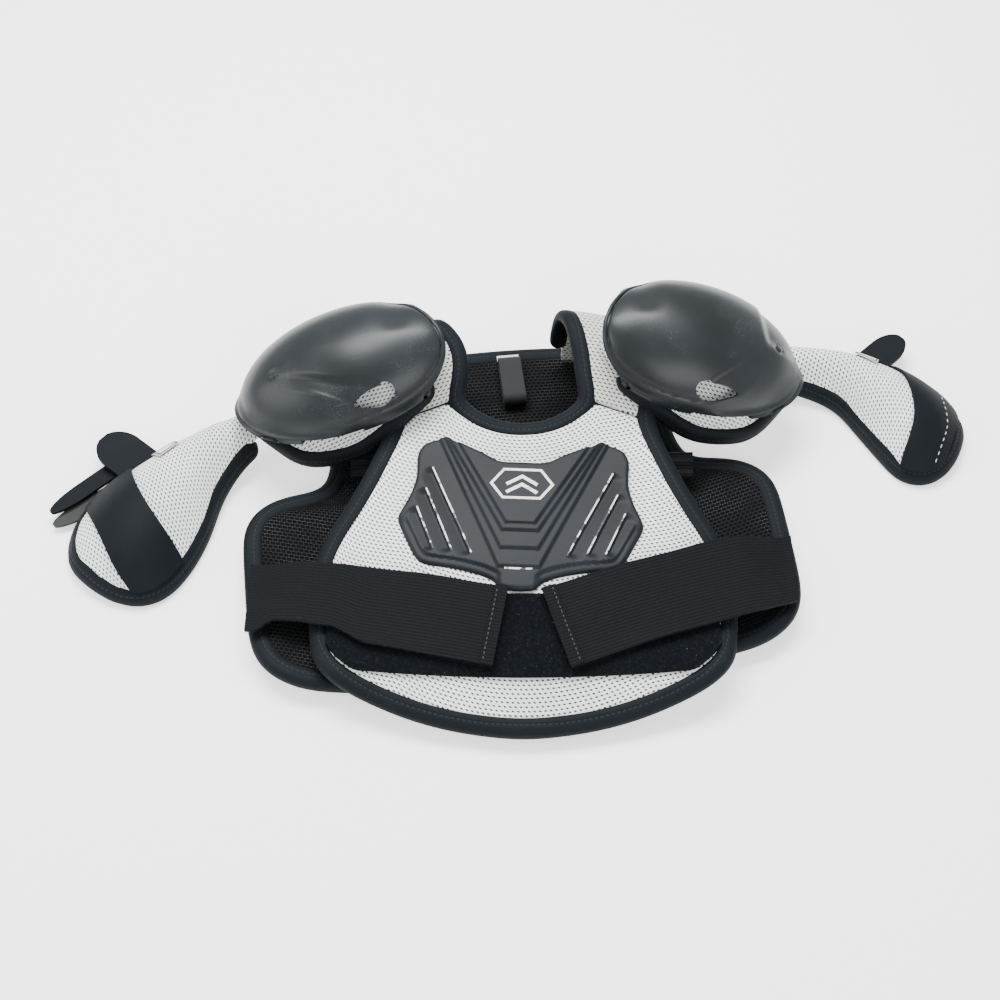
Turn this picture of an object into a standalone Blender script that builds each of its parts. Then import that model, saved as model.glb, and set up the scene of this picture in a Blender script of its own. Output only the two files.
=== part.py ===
"""Child's body guard: chest and back pads, shoulder cups, arm pads and waist straps.

The guard lies on its back. +X is the wearer's left, +Y points to the head and +Z
out of the chest. The origin is the centre of the flat back plate, on the floor.
Shape functions work in millimetres and become metres where vertices are placed.
"""

import math

import bmesh
import bpy
from mathutils import Matrix, Vector

MM = 0.001

# ---- driving dimensions, in millimetres ----
LAYER_GAP = 0.4             # air between neighbouring layers
SKIN = 1.0                  # mesh cover and lining thickness
FRONT_FOAM = 7.0            # chest pad filling
BACK_FOAM = 6.0             # back pad filling
YOKE_THICKNESS = 7.0        # shoulder bridge, all layers together
BINDING_RADIUS = 5.0        # edge binding of the chest and back
BINDING_GAP = 0.7           # air between a binding and the layers it edges
FRONT_SCALE_X = 1.0         # chest pad width factor
FRONT_SCALE_Y = 1.0         # chest pad length factor
FRONT_X = 3.0               # chest centre line beside the back centre line
BACK_YAW = math.radians(6.5)    # back pad turned under the chest
BACK_HALF_WIDTH = 162.0
BACK_PLATE_SIZE = (150.0, 150.0)
BACK_PLATE_THICKNESS = 3.2
PLATE_THICKNESS = 3.0       # chest plate wall
PLATE_HALF_WIDTH = 76.0
PLATE_TURN = math.radians(-2.5)
LANDING_THICKNESS = 1.8
HOOK_THICKNESS = 1.2
STRAP_THICKNESS = 2.2
STRAP_HALF_WIDTH = 26.0
CUP_LENGTH = 140.0          # shoulder cup, neck side to arm side
CUP_WIDTH = 98.0            # shoulder cup, front to rear
CUP_HEIGHT = 37.0           # crown above the rim plane
CUP_WALL = 2.4
SHOULDER_PAD_THICKNESS = 6.0
SHOULDER_BINDING_RADIUS = 3.6
ARM_LENGTH = 147.0
ARM_FOAM = 5.0
ARM_BINDING_RADIUS = 4.6
ARM_BAND_WIDTH = 36.0
ARM_BAND_THICKNESS = 1.8
BAND_MIDDLE = {-1: 0.77, 1: 0.83}       # share of the arm pad's length
ARM_HINGE_OUT = 2.0
ARM_HINGE_Z = 30.0
BAND_LIFT = 1.5             # band over the pad, clear of its facets
LOOP_WIDTH = 15.0
LOOP_LENGTH = 40.0
LOOP_GAP = 8.0
WEBBING = 1.4
EDGE_MATCH = 1e-6           # how close to 1 a sheet coordinate is taken as its edge
SIDES = (("left", -1), ("right", 1))

# ---- grid cells of the draped sheets, (across, along) ----
BACK_CELLS = (12, 14)
FRONT_CELLS = (12, 10)
YOKE_CELLS = (4, 14)
ARM_CELLS = (8, 8)

BACK_BASE = BACK_PLATE_THICKNESS + LAYER_GAP
BACK_TOP = BACK_BASE + 2 * SKIN + BACK_FOAM + 2 * LAYER_GAP
FRONT_DEPTH = 2 * SKIN + FRONT_FOAM + 2 * LAYER_GAP
STRAP_LIFT = LANDING_THICKNESS + HOOK_THICKNESS + 4 * LAYER_GAP
LANDING_LIFT = 2 * LAYER_GAP

COLOURS = {
    "cover": (0.78, 0.80, 0.78, 0.9, 0.0),
    "lining": (0.03, 0.03, 0.035, 0.95, 0.0),
    "foam": (0.06, 0.06, 0.065, 0.9, 0.0),
    "binding": (0.018, 0.02, 0.024, 0.85, 0.0),
    "plastic": (0.02, 0.021, 0.024, 0.38, 0.0),
    "elastic": (0.025, 0.026, 0.03, 0.9, 0.0),
    "loop_fleece": (0.02, 0.02, 0.022, 1.0, 0.0),
    "label": (0.8, 0.8, 0.78, 0.7, 0.0),
    "rivet": (0.05, 0.05, 0.055, 0.4, 0.6),
}


# ---- scene helpers ----
def clear_scene():
    for item in list(bpy.data.objects):
        bpy.data.objects.remove(item, do_unlink=True)


def make_collection(name):
    collection = bpy.data.collections.new(name)
    bpy.context.scene.collection.children.link(collection)
    return collection


def make_material(name):
    red, green, blue, roughness, metallic = COLOURS[name]
    material = bpy.data.materials.new(name)
    material.use_nodes = True
    shader = material.node_tree.nodes["Principled BSDF"]
    shader.inputs["Base Color"].default_value = (red, green, blue, 1.0)
    shader.inputs["Roughness"].default_value = roughness
    shader.inputs["Metallic"].default_value = metallic
    return material


clear_scene()
PARTS = make_collection("body_guard")
CUTTERS = make_collection("cutters")
MATERIALS = {name: make_material(name) for name in COLOURS}


def add_mesh(name, bm, finish, pivot=None):
    """Turn a bmesh into a named object whose origin is at pivot (world metres)."""
    mesh = bpy.data.meshes.new(name)
    if pivot is not None:
        bmesh.ops.translate(bm, verts=bm.verts, vec=-pivot)
    bm.to_mesh(mesh)
    bm.free()
    item = bpy.data.objects.new(name, mesh)
    if pivot is not None:
        item.location = pivot
    mesh.materials.append(MATERIALS[finish])
    PARTS.objects.link(item)
    return item


# ---- curves and surfaces ----
def along(stations, t):
    """Smooth value at t through (t, value) stations."""
    last = len(stations) - 1
    t = min(max(t, stations[0][0]), stations[last][0])
    i = 0
    while i < last - 1 and t > stations[i + 1][0]:
        i += 1
    (t0, v0), (t1, v1) = stations[i], stations[i + 1]
    span = t1 - t0

    def slope(k):
        low, high = max(k - 1, 0), min(k + 1, last)
        rise = stations[high][1] - stations[low][1]
        return rise / (stations[high][0] - stations[low][0])

    s = (t - t0) / span
    return ((2 * s ** 3 - 3 * s ** 2 + 1) * v0 + (s ** 3 - 2 * s ** 2 + s) * span * slope(i)
            + (3 * s ** 2 - 2 * s ** 3) * v1 + (s ** 3 - s ** 2) * span * slope(i + 1))


def smooth_step(t):
    t = min(max(t, 0.0), 1.0)
    return t * t * (3 - 2 * t)


def mix(a, b, k):
    return a + (b - a) * k


def surface_normal(place, u, v):
    """Outward direction of a surface place(u, v), upwards at its middle."""
    step = 0.02
    du = place(min(u + step, 1), v) - place(max(u - step, -1), v)
    dv = place(u, min(v + step, 1)) - place(u, max(v - step, -1))
    return du.cross(dv).normalized()


def draped_sheet(name, place, columns, rows, thickness, finish, depth=0.0, pivot=None):
    """A sheet of even thickness whose top lies depth below the surface place(u, v)."""
    bm = bmesh.new()
    bmesh.ops.create_grid(bm, x_segments=columns, y_segments=rows, size=1.0)
    turned = surface_normal(place, 0, 0).z < 0
    for vert in bm.verts:
        u, v = vert.co.x, vert.co.y
        normal = surface_normal(place, u, v) * (-1 if turned else 1)
        vert.co = (place(u, v) - normal * depth) * MM
    if turned:
        bmesh.ops.reverse_faces(bm, faces=bm.faces)
    item = add_mesh(name, bm, finish, pivot)
    wall = item.modifiers.new("thickness", "SOLIDIFY")
    wall.thickness = thickness * MM
    wall.offset = -1.0
    return item


def tube(name, points, radius, finish, cyclic=False, pivot=None):
    """A round binding along points, closed by caps where it isn't a ring."""
    curve = bpy.data.curves.new(name, "CURVE")
    curve.dimensions = "3D"
    curve.bevel_depth = radius * MM
    curve.bevel_resolution = 1
    curve.use_fill_caps = True
    spline = curve.splines.new("POLY")
    spline.points.add(len(points) - 1)
    spline.use_cyclic_u = cyclic
    base = pivot if pivot is not None else Vector((0, 0, 0))
    for target, point in zip(spline.points, points):
        target.co = (*(point * MM - base), 1.0)
    item = bpy.data.objects.new(name, curve)
    item.location = base
    curve.materials.append(MATERIALS[finish])
    PARTS.objects.link(item)
    return item


def edge_point(place, u, v, cells, clear, depth):
    """A point beside the edge vertex (u, v): clear outside the sheet and depth below it.

    cells is the sheet's (columns, rows); a corner is offset from both its edges.
    """
    turned = surface_normal(place, 0, 0).z < 0
    columns, rows = cells
    edge = place(u, v)
    normal = surface_normal(place, u, v) * (-1 if turned else 1)
    shift = Vector((0, 0, 0))
    if abs(u) > 1 - EDGE_MATCH:
        outward = edge - place(u * (1 - 2 / columns), v)
        tangent = place(u, min(v + 2 / rows, 1)) - place(u, max(v - 2 / rows, -1))
        tangent.normalize()
        shift += (outward - tangent * outward.dot(tangent)).normalized()
    if abs(v) > 1 - EDGE_MATCH:
        outward = edge - place(u, v * (1 - 2 / rows))
        tangent = place(min(u + 2 / columns, 1), v) - place(max(u - 2 / columns, -1), v)
        tangent.normalize()
        shift += (outward - tangent * outward.dot(tangent)).normalized()
    return edge + shift * clear - normal * depth


def edge_path(place, side, cells, clear, depth, backwards=False, first=0, last=None):
    """Edge points along one side, one for each vertex of the sheet's grid.

    side names the edge ("left", "right", "bottom" or "top"); first and last count
    vertices from the start of the edge.
    """
    count = cells[1] if side in ("left", "right") else cells[0]
    points = []
    for i in range(first, (count if last is None else last) + 1):
        t = -1 + 2 * i / count
        u, v = {"left": (-1, t), "right": (1, t), "bottom": (t, -1), "top": (t, 1)}[side]
        points.append(edge_point(place, u, v, cells, clear, depth))
    return points[::-1] if backwards else points


def prism(name, outline, low, high):
    """Upright cutter with a flat outline of (x, y) points, kept out of the model."""
    bm = bmesh.new()
    ring = [bm.verts.new(Vector((x, y, low)) * MM) for x, y in outline]
    face = bm.faces.new(ring)
    grown = bmesh.ops.extrude_face_region(bm, geom=[face])
    lifted = [part for part in grown["geom"] if isinstance(part, bmesh.types.BMVert)]
    bmesh.ops.translate(bm, verts=lifted, vec=Vector((0, 0, high - low)) * MM)
    bmesh.ops.recalc_face_normals(bm, faces=bm.faces)
    mesh = bpy.data.meshes.new(name)
    bm.to_mesh(mesh)
    bm.free()
    item = bpy.data.objects.new(name, mesh)
    item.hide_render = True
    item.display_type = "WIRE"
    CUTTERS.objects.link(item)
    return item


def rounded_box(name, size, matrix, finish=None, corner=0.4):
    """A box with bevelled upright edges; a cutter when it has no finish."""
    bm = bmesh.new()
    bmesh.ops.create_cube(bm, size=1.0)
    bmesh.ops.scale(bm, verts=bm.verts, vec=Vector(size) * MM)
    upright = [e for e in bm.edges if abs(e.verts[0].co.z - e.verts[1].co.z) > 0.5 * size[2] * MM]
    width = min(size[0], size[1]) * corner * MM
    bmesh.ops.bevel(bm, geom=upright, offset=width, segments=3, affect="EDGES", profile=0.5)
    if finish is None:
        mesh = bpy.data.meshes.new(name)
        bm.to_mesh(mesh)
        bm.free()
        item = bpy.data.objects.new(name, mesh)
        item.hide_render = True
        item.display_type = "WIRE"
        CUTTERS.objects.link(item)
    else:
        item = add_mesh(name, bm, finish)
    item.matrix_world = matrix
    return item


def cut(item, cutter, operation="DIFFERENCE"):
    modifier = item.modifiers.new(cutter.name, "BOOLEAN")
    modifier.operation = operation
    modifier.solver = "EXACT"
    modifier.object = cutter


def plate_matrix(centre, turn):
    """World matrix of a piece at centre (mm) turned about Z."""
    return Matrix.Translation(centre * MM) @ Matrix.Rotation(turn, 4, "Z")


# ---- back pad ----
def back_point(x, y, z):
    """A point given in the back pad's own axes."""
    c, s = math.cos(BACK_YAW), math.sin(BACK_YAW)
    return Vector((x * c - y * s, x * s + y * c, z))


BACK_SIDE = [(-1.0, (0.955)), (-0.8, 0.985), (-0.55, 1.0), (-0.3, 0.985), (-0.15, 0.9),
             (-0.05, 0.76), (0.1, 0.68), (0.35, 0.64), (0.7, 0.63), (1.0, 0.63)]
BACK_SIDE_Y = [(-1.0, -80.0), (-0.8, -58.0), (-0.55, 7.0), (-0.3, 30.0), (-0.15, 41.0),
               (-0.05, 46.0), (0.1, 55.0), (0.35, 78.0), (0.7, 115.0), (1.0, 148.0)]


def back_surface(u, v):
    """Top of the back pad's lining: flat in the middle, its sides a little curled."""
    half = BACK_HALF_WIDTH * along(BACK_SIDE, v)
    x = u * half
    dip = 1 - u * u
    y = along(BACK_SIDE_Y, v)
    y += (-12.0 * dip) * smooth_step((-0.2 - v) / 0.8) + 9.0 * dip * smooth_step(v)
    curl = 5.0 * smooth_step((abs(x) - 90.0) / 75.0)
    return back_point(x, y, BACK_TOP + curl)


def make_back():
    layers = [("back_lining", "lining", 0.0, SKIN),
              ("back_foam", "foam", SKIN + LAYER_GAP, BACK_FOAM),
              ("back_outer_mesh", "cover", SKIN + BACK_FOAM + 2 * LAYER_GAP, SKIN)]
    for name, finish, depth, thickness in layers:
        draped_sheet(name, back_surface, *BACK_CELLS, thickness, finish, depth)
    clear = BINDING_RADIUS + BINDING_GAP
    depth = (BACK_TOP - BACK_BASE) / 2
    inner = BACK_CELLS[0] - 1
    path = edge_path(back_surface, "left", BACK_CELLS, clear, depth, backwards=True)
    path += edge_path(back_surface, "bottom", BACK_CELLS, clear, depth, first=1, last=inner)
    path += edge_path(back_surface, "right", BACK_CELLS, clear, depth)
    path += edge_path(back_surface, "top", BACK_CELLS, clear, depth, True, first=1, last=inner)
    tube("back_binding", path, BINDING_RADIUS, "binding", cyclic=True)
    size = (*BACK_PLATE_SIZE, BACK_PLATE_THICKNESS)
    centre = Vector((0, 0, BACK_PLATE_THICKNESS / 2))
    rounded_box("back_plate", size, plate_matrix(centre, BACK_YAW), "plastic", corner=0.2)


def collar_surface(u, v, centre_x, half, top, length, lift):
    """A small rectangle lying on the back lining below the collar."""
    return back_point(centre_x + u * half, top - (1 - v) / 2 * length, BACK_TOP + lift)


LOOP_CENTRE_X = 12.0
LOOP_TOP_Y = 151.0


def make_collar_pieces():
    """The blank label and the webbing loop that hangs at the collar."""
    def label(u, v):
        return collar_surface(u, v, LOOP_CENTRE_X, LOOP_WIDTH / 2 + 4, LOOP_TOP_Y - 2, 11.0,
                              LAYER_GAP + 0.6)

    draped_sheet("size_label", label, 2, 2, 0.6, "label")
    base = BACK_TOP + 0.6 + 2 * LAYER_GAP
    half_gap = LOOP_GAP / 2
    outer = half_gap + WEBBING
    centre_z = base + outer
    bm = bmesh.new()
    inner_ring, outer_ring = [], []
    turns = 8
    for i in range(2 * turns + 2):
        if i <= turns:
            angle, mid = math.pi * (-0.5 + i / turns), LOOP_TOP_Y - outer
        else:
            angle, mid = math.pi * (0.5 + (i - turns - 1) / turns), LOOP_TOP_Y - LOOP_LENGTH + outer
        for ring, radius in ((inner_ring, half_gap), (outer_ring, outer)):
            ring.append((mid + radius * math.cos(angle), centre_z + radius * math.sin(angle)))
    count = len(inner_ring)
    layers = []
    for x in (LOOP_CENTRE_X - LOOP_WIDTH / 2, LOOP_CENTRE_X + LOOP_WIDTH / 2):
        for ring in (inner_ring, outer_ring):
            layers.append([bm.verts.new(back_point(x, y, z) * MM) for y, z in ring])
    for i in range(count):
        j = (i + 1) % count
        bm.faces.new((layers[0][i], layers[0][j], layers[2][j], layers[2][i]))
        bm.faces.new((layers[1][i], layers[1][j], layers[3][j], layers[3][i]))
        bm.faces.new((layers[0][i], layers[0][j], layers[1][j], layers[1][i]))
        bm.faces.new((layers[2][i], layers[2][j], layers[3][j], layers[3][i]))
    bmesh.ops.recalc_face_normals(bm, faces=bm.faces)
    pivot = back_point(LOOP_CENTRE_X, LOOP_TOP_Y, base) * MM
    add_mesh("hang_loop", bm, "elastic", pivot)


# ---- chest pad ----
FRONT_CROWN = [(-130, 15), (-118, 20), (-104, 26), (-80, 32.5), (-55, 38), (-20, 43), (20, 46),
               (50, 48), (64, 50.5), (84, 57)]
FRONT_FALL = [(-130, 2), (-100, 0), (-80, 6.5), (-50, 9), (-30, 10), (0, 8.5), (40, 3), (84, 0)]
FRONT_SIDE = [(-1.0, 118), (-0.75, 120.5), (-0.5, 119), (-0.25, 112), (0.0, 103), (0.3, 93),
              (0.6, 84), (0.85, 77), (1.0, 74)]
FRONT_SIDE_Y = [(-1.0, -88), (-0.75, -61), (-0.5, -32), (-0.25, -13), (0.0, 3), (0.3, 22),
                (0.6, 43), (0.85, 61), (1.0, 71)]
SEAM_INNER_X = 47.0
SEAM_INNER_Y = 80.0


def front_height(x, y):
    """Height of the chest cover over the floor."""
    reach = min(abs(x) / 120.0, 1.1)
    return along(FRONT_CROWN, y) - along(FRONT_FALL, y) * reach * reach


def on_front(x, y, lift=0.0):
    """A point of the chest surface, x measured from the chest centre line."""
    return Vector((x * FRONT_SCALE_X + FRONT_X, y * FRONT_SCALE_Y, front_height(x, y) + lift))


def neck_line(x):
    """Upper edge of the chest pad: shoulder seams with the neck curve between."""
    away = abs(x)
    if away >= SEAM_INNER_X:
        return mix(SEAM_INNER_Y, 71.0, (away - SEAM_INNER_X) / (74.0 - SEAM_INNER_X))
    return 59.5 + 20.5 * (away / SEAM_INNER_X) ** 2.2


def hem_line(x):
    """Lower edge of the chest pad."""
    reach = min(abs(x) / 118.0, 1.0)
    return -131.0 + 33.0 * reach ** 2 + 10.0 * reach ** 18


def front_plan(u, v):
    """Plan position on the chest pad for u across and v from hem to neck."""
    half = along(FRONT_SIDE, v)
    x_side = u * half
    side_y = along(FRONT_SIDE_Y, v)
    hem_x, neck_x = u * 118.0, u * 74.0
    k = (v + 1) / 2
    straight = mix(-88.0, 71.0, k)
    x = x_side
    y = side_y + (hem_line(hem_x) + 88.0) * (1 - k) + (neck_line(neck_x) - 71.0) * k
    y += (straight - side_y) * (1 - u * u) * 0.5
    return x, y


def front_surface(u, v):
    return on_front(*front_plan(u, v))


def make_front():
    layers = [("front_mesh_cover", "cover", 0.0, SKIN),
              ("front_foam", "foam", SKIN + LAYER_GAP, FRONT_FOAM),
              ("front_lining", "lining", SKIN + FRONT_FOAM + 2 * LAYER_GAP, SKIN)]
    for name, finish, depth, thickness in layers:
        draped_sheet(name, front_surface, *FRONT_CELLS, thickness, finish, depth)


# ---- shoulder bridges ----
YOKE_INNER = [(0.0, (0.0, 57.0)), (0.2, (0.18, 63.0)), (0.4, (0.40, 69.0)), (0.55, (0.60, 73.5)),
              (0.68, (0.78, 74.0)), (0.8, (0.93, 66.0)), (0.9, (1.0, 44.0)), (1.0, (1.0, 15.5))]
YOKE_OUTER = [(0.0, (0.0, 52.5)), (0.2, (0.17, 57.0)), (0.4, (0.38, 60.0)), (0.55, (0.58, 61.5)),
              (0.68, (0.77, 60.5)), (0.8, (0.92, 53.0)), (0.9, (1.0, 37.0)), (1.0, (1.0, 15.5))]
YOKE_INNER_X = [(0.0, 47.0), (0.2, 43.5), (0.5, 42.0), (0.75, 46.0), (1.0, 48.0)]
YOKE_OUTER_X = [(0.0, 74.0), (0.2, 79.0), (0.5, 88.0), (0.75, 95.0), (1.0, 100.0)]
YOKE_SEAM_Y = 152.0
YOKE_OUTER_SEAM_Y = 147.0
NECK_STEPS = 10
YOKE_BINDING_GAP = 0.5      # extra air along the bridge's hollow outer edge


def yoke_edge(side, t, inner):
    """One edge of a shoulder bridge, from the chest seam to the back seam."""
    stations = YOKE_INNER if inner else YOKE_OUTER
    share = along([(k, value[0]) for k, value in stations], t)
    height = along([(k, value[1]) for k, value in stations], t)
    if inner:
        start_y, back_x, back_y = SEAM_INNER_Y + 0.5, 48.0, YOKE_SEAM_Y
    else:
        start_y, back_x, back_y = 71.5, 100.0, YOKE_OUTER_SEAM_Y
    end = back_point(side * back_x, back_y, 0)
    front_x = side * along(YOKE_INNER_X if inner else YOKE_OUTER_X, t) + FRONT_X
    x = mix(front_x, end.x, smooth_step((t - 0.35) / 0.65))
    return Vector((x, mix(start_y, end.y, share), height))


def yoke_surface(side):
    def place(u, v):
        t = (v + 1) / 2
        inner, outer = yoke_edge(side, t, True), yoke_edge(side, t, False)
        point = mix(inner, outer, (u + 1) / 2)
        point.z += 2.5 * (1 - u * u) * smooth_step(t * 3) * smooth_step((1 - t) * 3)
        return point
    return place


def make_yokes():
    for label, side in SIDES:
        draped_sheet(f"yoke_{label}", yoke_surface(side), *YOKE_CELLS, YOKE_THICKNESS, "cover")


def make_front_bindings():
    clear = BINDING_RADIUS + BINDING_GAP
    depth = FRONT_DEPTH / 2
    left, right = yoke_surface(-1), yoke_surface(1)
    yoke_depth = YOKE_THICKNESS / 2
    inner = FRONT_CELLS[0] - 1
    seam = YOKE_CELLS[1] - 1
    beside = clear + YOKE_BINDING_GAP
    path = edge_path(left, "right", YOKE_CELLS, beside, yoke_depth, True, first=1, last=seam)
    path += edge_path(front_surface, "left", FRONT_CELLS, clear, depth, True)
    path += edge_path(front_surface, "bottom", FRONT_CELLS, clear, depth, first=1, last=inner)
    path += edge_path(front_surface, "right", FRONT_CELLS, clear, depth)
    path += edge_path(right, "right", YOKE_CELLS, beside, yoke_depth, first=1, last=seam)
    tube("front_binding", path, BINDING_RADIUS, "binding")
    small = BINDING_RADIUS - 1.0
    clear = small + BINDING_GAP
    seam_u = SEAM_INNER_X / 74.0
    path = edge_path(left, "left", YOKE_CELLS, clear, yoke_depth, True, first=1, last=seam)
    for i in range(NECK_STEPS + 1):
        u = mix(-seam_u, seam_u, i / NECK_STEPS) * 0.9
        path.append(edge_point(front_surface, u, 1, FRONT_CELLS, clear, depth))
    path += edge_path(right, "left", YOKE_CELLS, clear, yoke_depth, first=1, last=seam)
    tube("neck_binding", path, small, "binding")


# ---- chest plate ----
PLATE_HALF_OUTLINE = [(0, -56), (10.5, -55), (15, -49), (24, -45.2), (38, -41.5), (58, -38.5),
                      (64, -33.5), (75.5, -9.5), (76, -5), (69.5, 9), (66, 22.5), (67, 40),
                      (63, 48), (50, 52.5), (45, 48), (34, 42.5), (24.8, 38), (15, 31.4), (0, 31.4)]
PLATE_CENTRE = (-1.0, 0.0)


def turned(x, y):
    """Chest-plate axes to chest axes."""
    c, s = math.cos(PLATE_TURN), math.sin(PLATE_TURN)
    return PLATE_CENTRE[0] + x * c - y * s, PLATE_CENTRE[1] + x * s + y * c


def plate_relief(x, y):
    """Rise of the chest plate's shield over its wings."""
    shield = smooth_step((34.0 - abs(x) - 0.35 * abs(y)) / 12.0)
    return 3.2 * shield


def make_chest_plate():
    stretch = PLATE_HALF_WIDTH / 76.0

    def surface(u, v):
        x, y = u * (PLATE_HALF_WIDTH + 3), v * 60.0
        px, py = turned(x, y)
        return on_front(px, py, 2 * LAYER_GAP + PLATE_THICKNESS + plate_relief(x, y))

    plate = draped_sheet("chest_plate", surface, 16, 12, PLATE_THICKNESS, "plastic")
    half = [(x * stretch, y) for x, y in PLATE_HALF_OUTLINE]
    outline = half + [(-x, y) for x, y in reversed(half[1:-1])]
    outline = [turned(x, y) for x, y in outline]
    outline = [(x * FRONT_SCALE_X + FRONT_X, y * FRONT_SCALE_Y) for x, y in outline]
    cut(plate, prism("plate_outline", outline, 20.0, 90.0), "INTERSECT")

    def badge(u, v):
        x, y = u * 17.0, 14.0 + v * 9.0
        px, py = turned(x, y)
        lift = 3 * LAYER_GAP + PLATE_THICKNESS + plate_relief(x, y) + 0.8
        return on_front(px, py, lift)

    draped_sheet("chest_badge", badge, 3, 3, 0.8, "label")


# ---- waist straps ----
LANDING_HALF = 97.0


def landing_surface(u, v):
    x = u * LANDING_HALF
    top = -58.0
    low = max(-109.0 + 6.0 * u * u, hem_line(x) + 2.0)
    y = mix(low, top, (v + 1) / 2)
    return on_front(x, y, LANDING_LIFT + LANDING_THICKNESS)


STRAP_HINGE_X = 128.0
STRAP_HINGE_GAP = 1.0       # clear of its hinge line, so that the strap opens freely
STRAP_ROOT_X = 168.0
STRAP_ENDS = {-1: (-14.5, -81.0), 1: (20.0, -82.0)}      # free end (x, y) on the chest
STRAP_ROOTS = {-1: -50.0, 1: -28.0}                      # y at the back pad's side


def strap_centre_y(side, x):
    end_x, end_y = STRAP_ENDS[side]
    k = (x - end_x) / (side * STRAP_ROOT_X - end_x)
    return mix(end_y, STRAP_ROOTS[side], k)


def strap_height(side, x, y):
    """Top of the strap: on the landing over the chest, sloping to the back's edge."""
    chest = front_height(min(max(x, -STRAP_HINGE_X), STRAP_HINGE_X), y)
    chest += STRAP_LIFT + STRAP_THICKNESS
    away = (abs(x) - STRAP_HINGE_X) / (STRAP_ROOT_X - STRAP_HINGE_X)
    root = BACK_TOP + 5.0 + BINDING_RADIUS + STRAP_THICKNESS
    return mix(chest, root, smooth_step(away))


def strap_surface(side, near, far):
    """Strap top between |x| near and |x| far (signed by side)."""
    def place(u, v):
        x = mix(near, far, (u + 1) / 2)
        end_x, end_y = STRAP_ENDS[side]
        slope = (STRAP_ROOTS[side] - end_y) / (side * STRAP_ROOT_X - end_x)
        y = strap_centre_y(side, x) + v * STRAP_HALF_WIDTH * 0.93
        away = smooth_step((abs(x) - STRAP_HINGE_X) / (STRAP_ROOT_X - STRAP_HINGE_X))
        x_shifted = x - v * STRAP_HALF_WIDTH * slope * 0.9 * (1 - away)
        return Vector((x_shifted + FRONT_X, y, strap_height(side, x_shifted, y)))
    return place


def make_waist_straps():
    draped_sheet("strap_landing", landing_surface, 10, 3, LANDING_THICKNESS, "loop_fleece")
    for label, side in SIDES:
        end_x = STRAP_ENDS[side][0]
        hinge = side * STRAP_HINGE_X
        pivot = strap_pivot(side) * MM
        front = strap_surface(side, end_x, hinge - side * STRAP_HINGE_GAP)
        draped_sheet(f"waist_strap_{label}", front, 10, 4, STRAP_THICKNESS, "elastic", pivot=pivot)
        hook = strap_surface(side, end_x + side * 3, end_x + side * 38)
        draped_sheet(f"waist_hook_{label}", hook, 3, 4, HOOK_THICKNESS, "loop_fleece",
                     STRAP_THICKNESS + LAYER_GAP, pivot=pivot)
        root = strap_surface(side, hinge + side * LAYER_GAP, side * STRAP_ROOT_X)
        draped_sheet(f"waist_elastic_{label}", root, 4, 4, STRAP_THICKNESS, "elastic")


def strap_pivot(side):
    x = side * STRAP_HINGE_X
    y = strap_centre_y(side, x)
    return Vector((x + FRONT_X, y, strap_height(side, x, y)))


# ---- shoulders ----
SWING_PIVOT = (46.0, 108.0)
CUP_SWING = {-1: math.radians(-6.0), 1: math.radians(4.0)}
CUP_CENTRE_OUT = 68.0
RIM_MIDDLE = 60.0
RIM_TILT = 20.0
BINDING_ARC = {-1: (-104.0, -60.0), 1: (-104.0, -30.0)}     # degrees round the pad's rim


def shoulder_frame(side, out, head, z):
    """Cup axes (out from the neck, towards the head, up) to the world."""
    angle = CUP_SWING[side]
    x = out * math.cos(angle) - head * math.sin(angle)
    y = out * math.sin(angle) + head * math.cos(angle)
    shift = BACK_SHIFT_Y[side]
    return Vector((side * (SWING_PIVOT[0] + x) + FRONT_X, SWING_PIVOT[1] + shift + y, z))


BACK_SHIFT_Y = {-1: -2.0, 1: 5.0}


def disc(u, v):
    """Square to disc."""
    return u * math.sqrt(1 - v * v / 2), v * math.sqrt(1 - u * u / 2)


def rim_height(out, head, drop):
    """Rim of a cup or pad: it falls towards the arm and the front."""
    return RIM_MIDDLE - RIM_TILT * out / 70.0 + 0.10 * head - drop


def pad_drop(out, head):
    """How far the pad's rim hangs below the cup's: most at the front of the arm."""
    sideways = smooth_step((out + 45.0) / 45.0) * (1 - smooth_step((out - 30.0) / 28.0))
    return 1.5 + 17.0 * smooth_step((-head - 5.0) / 35.0) * sideways


def no_drop(out, head):
    return 0.0


def dome_surface(side, length, width, height, drop, inset):
    """Oval dome over the shoulder."""
    def place(u, v):
        dx, dy = disc(u, v)
        rho = min(math.hypot(dx, dy), 1.0)
        angle = rho * math.pi / 2
        spread = math.sin(angle) / rho if rho > 1e-6 else math.pi / 2
        out = dx * spread * length / 2
        head = dy * spread * width / 2
        z = rim_height(out, head, drop(out, head)) + height * math.cos(angle) ** 0.85 - inset
        return shoulder_frame(side, CUP_CENTRE_OUT + out, head, z)
    return place


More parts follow.
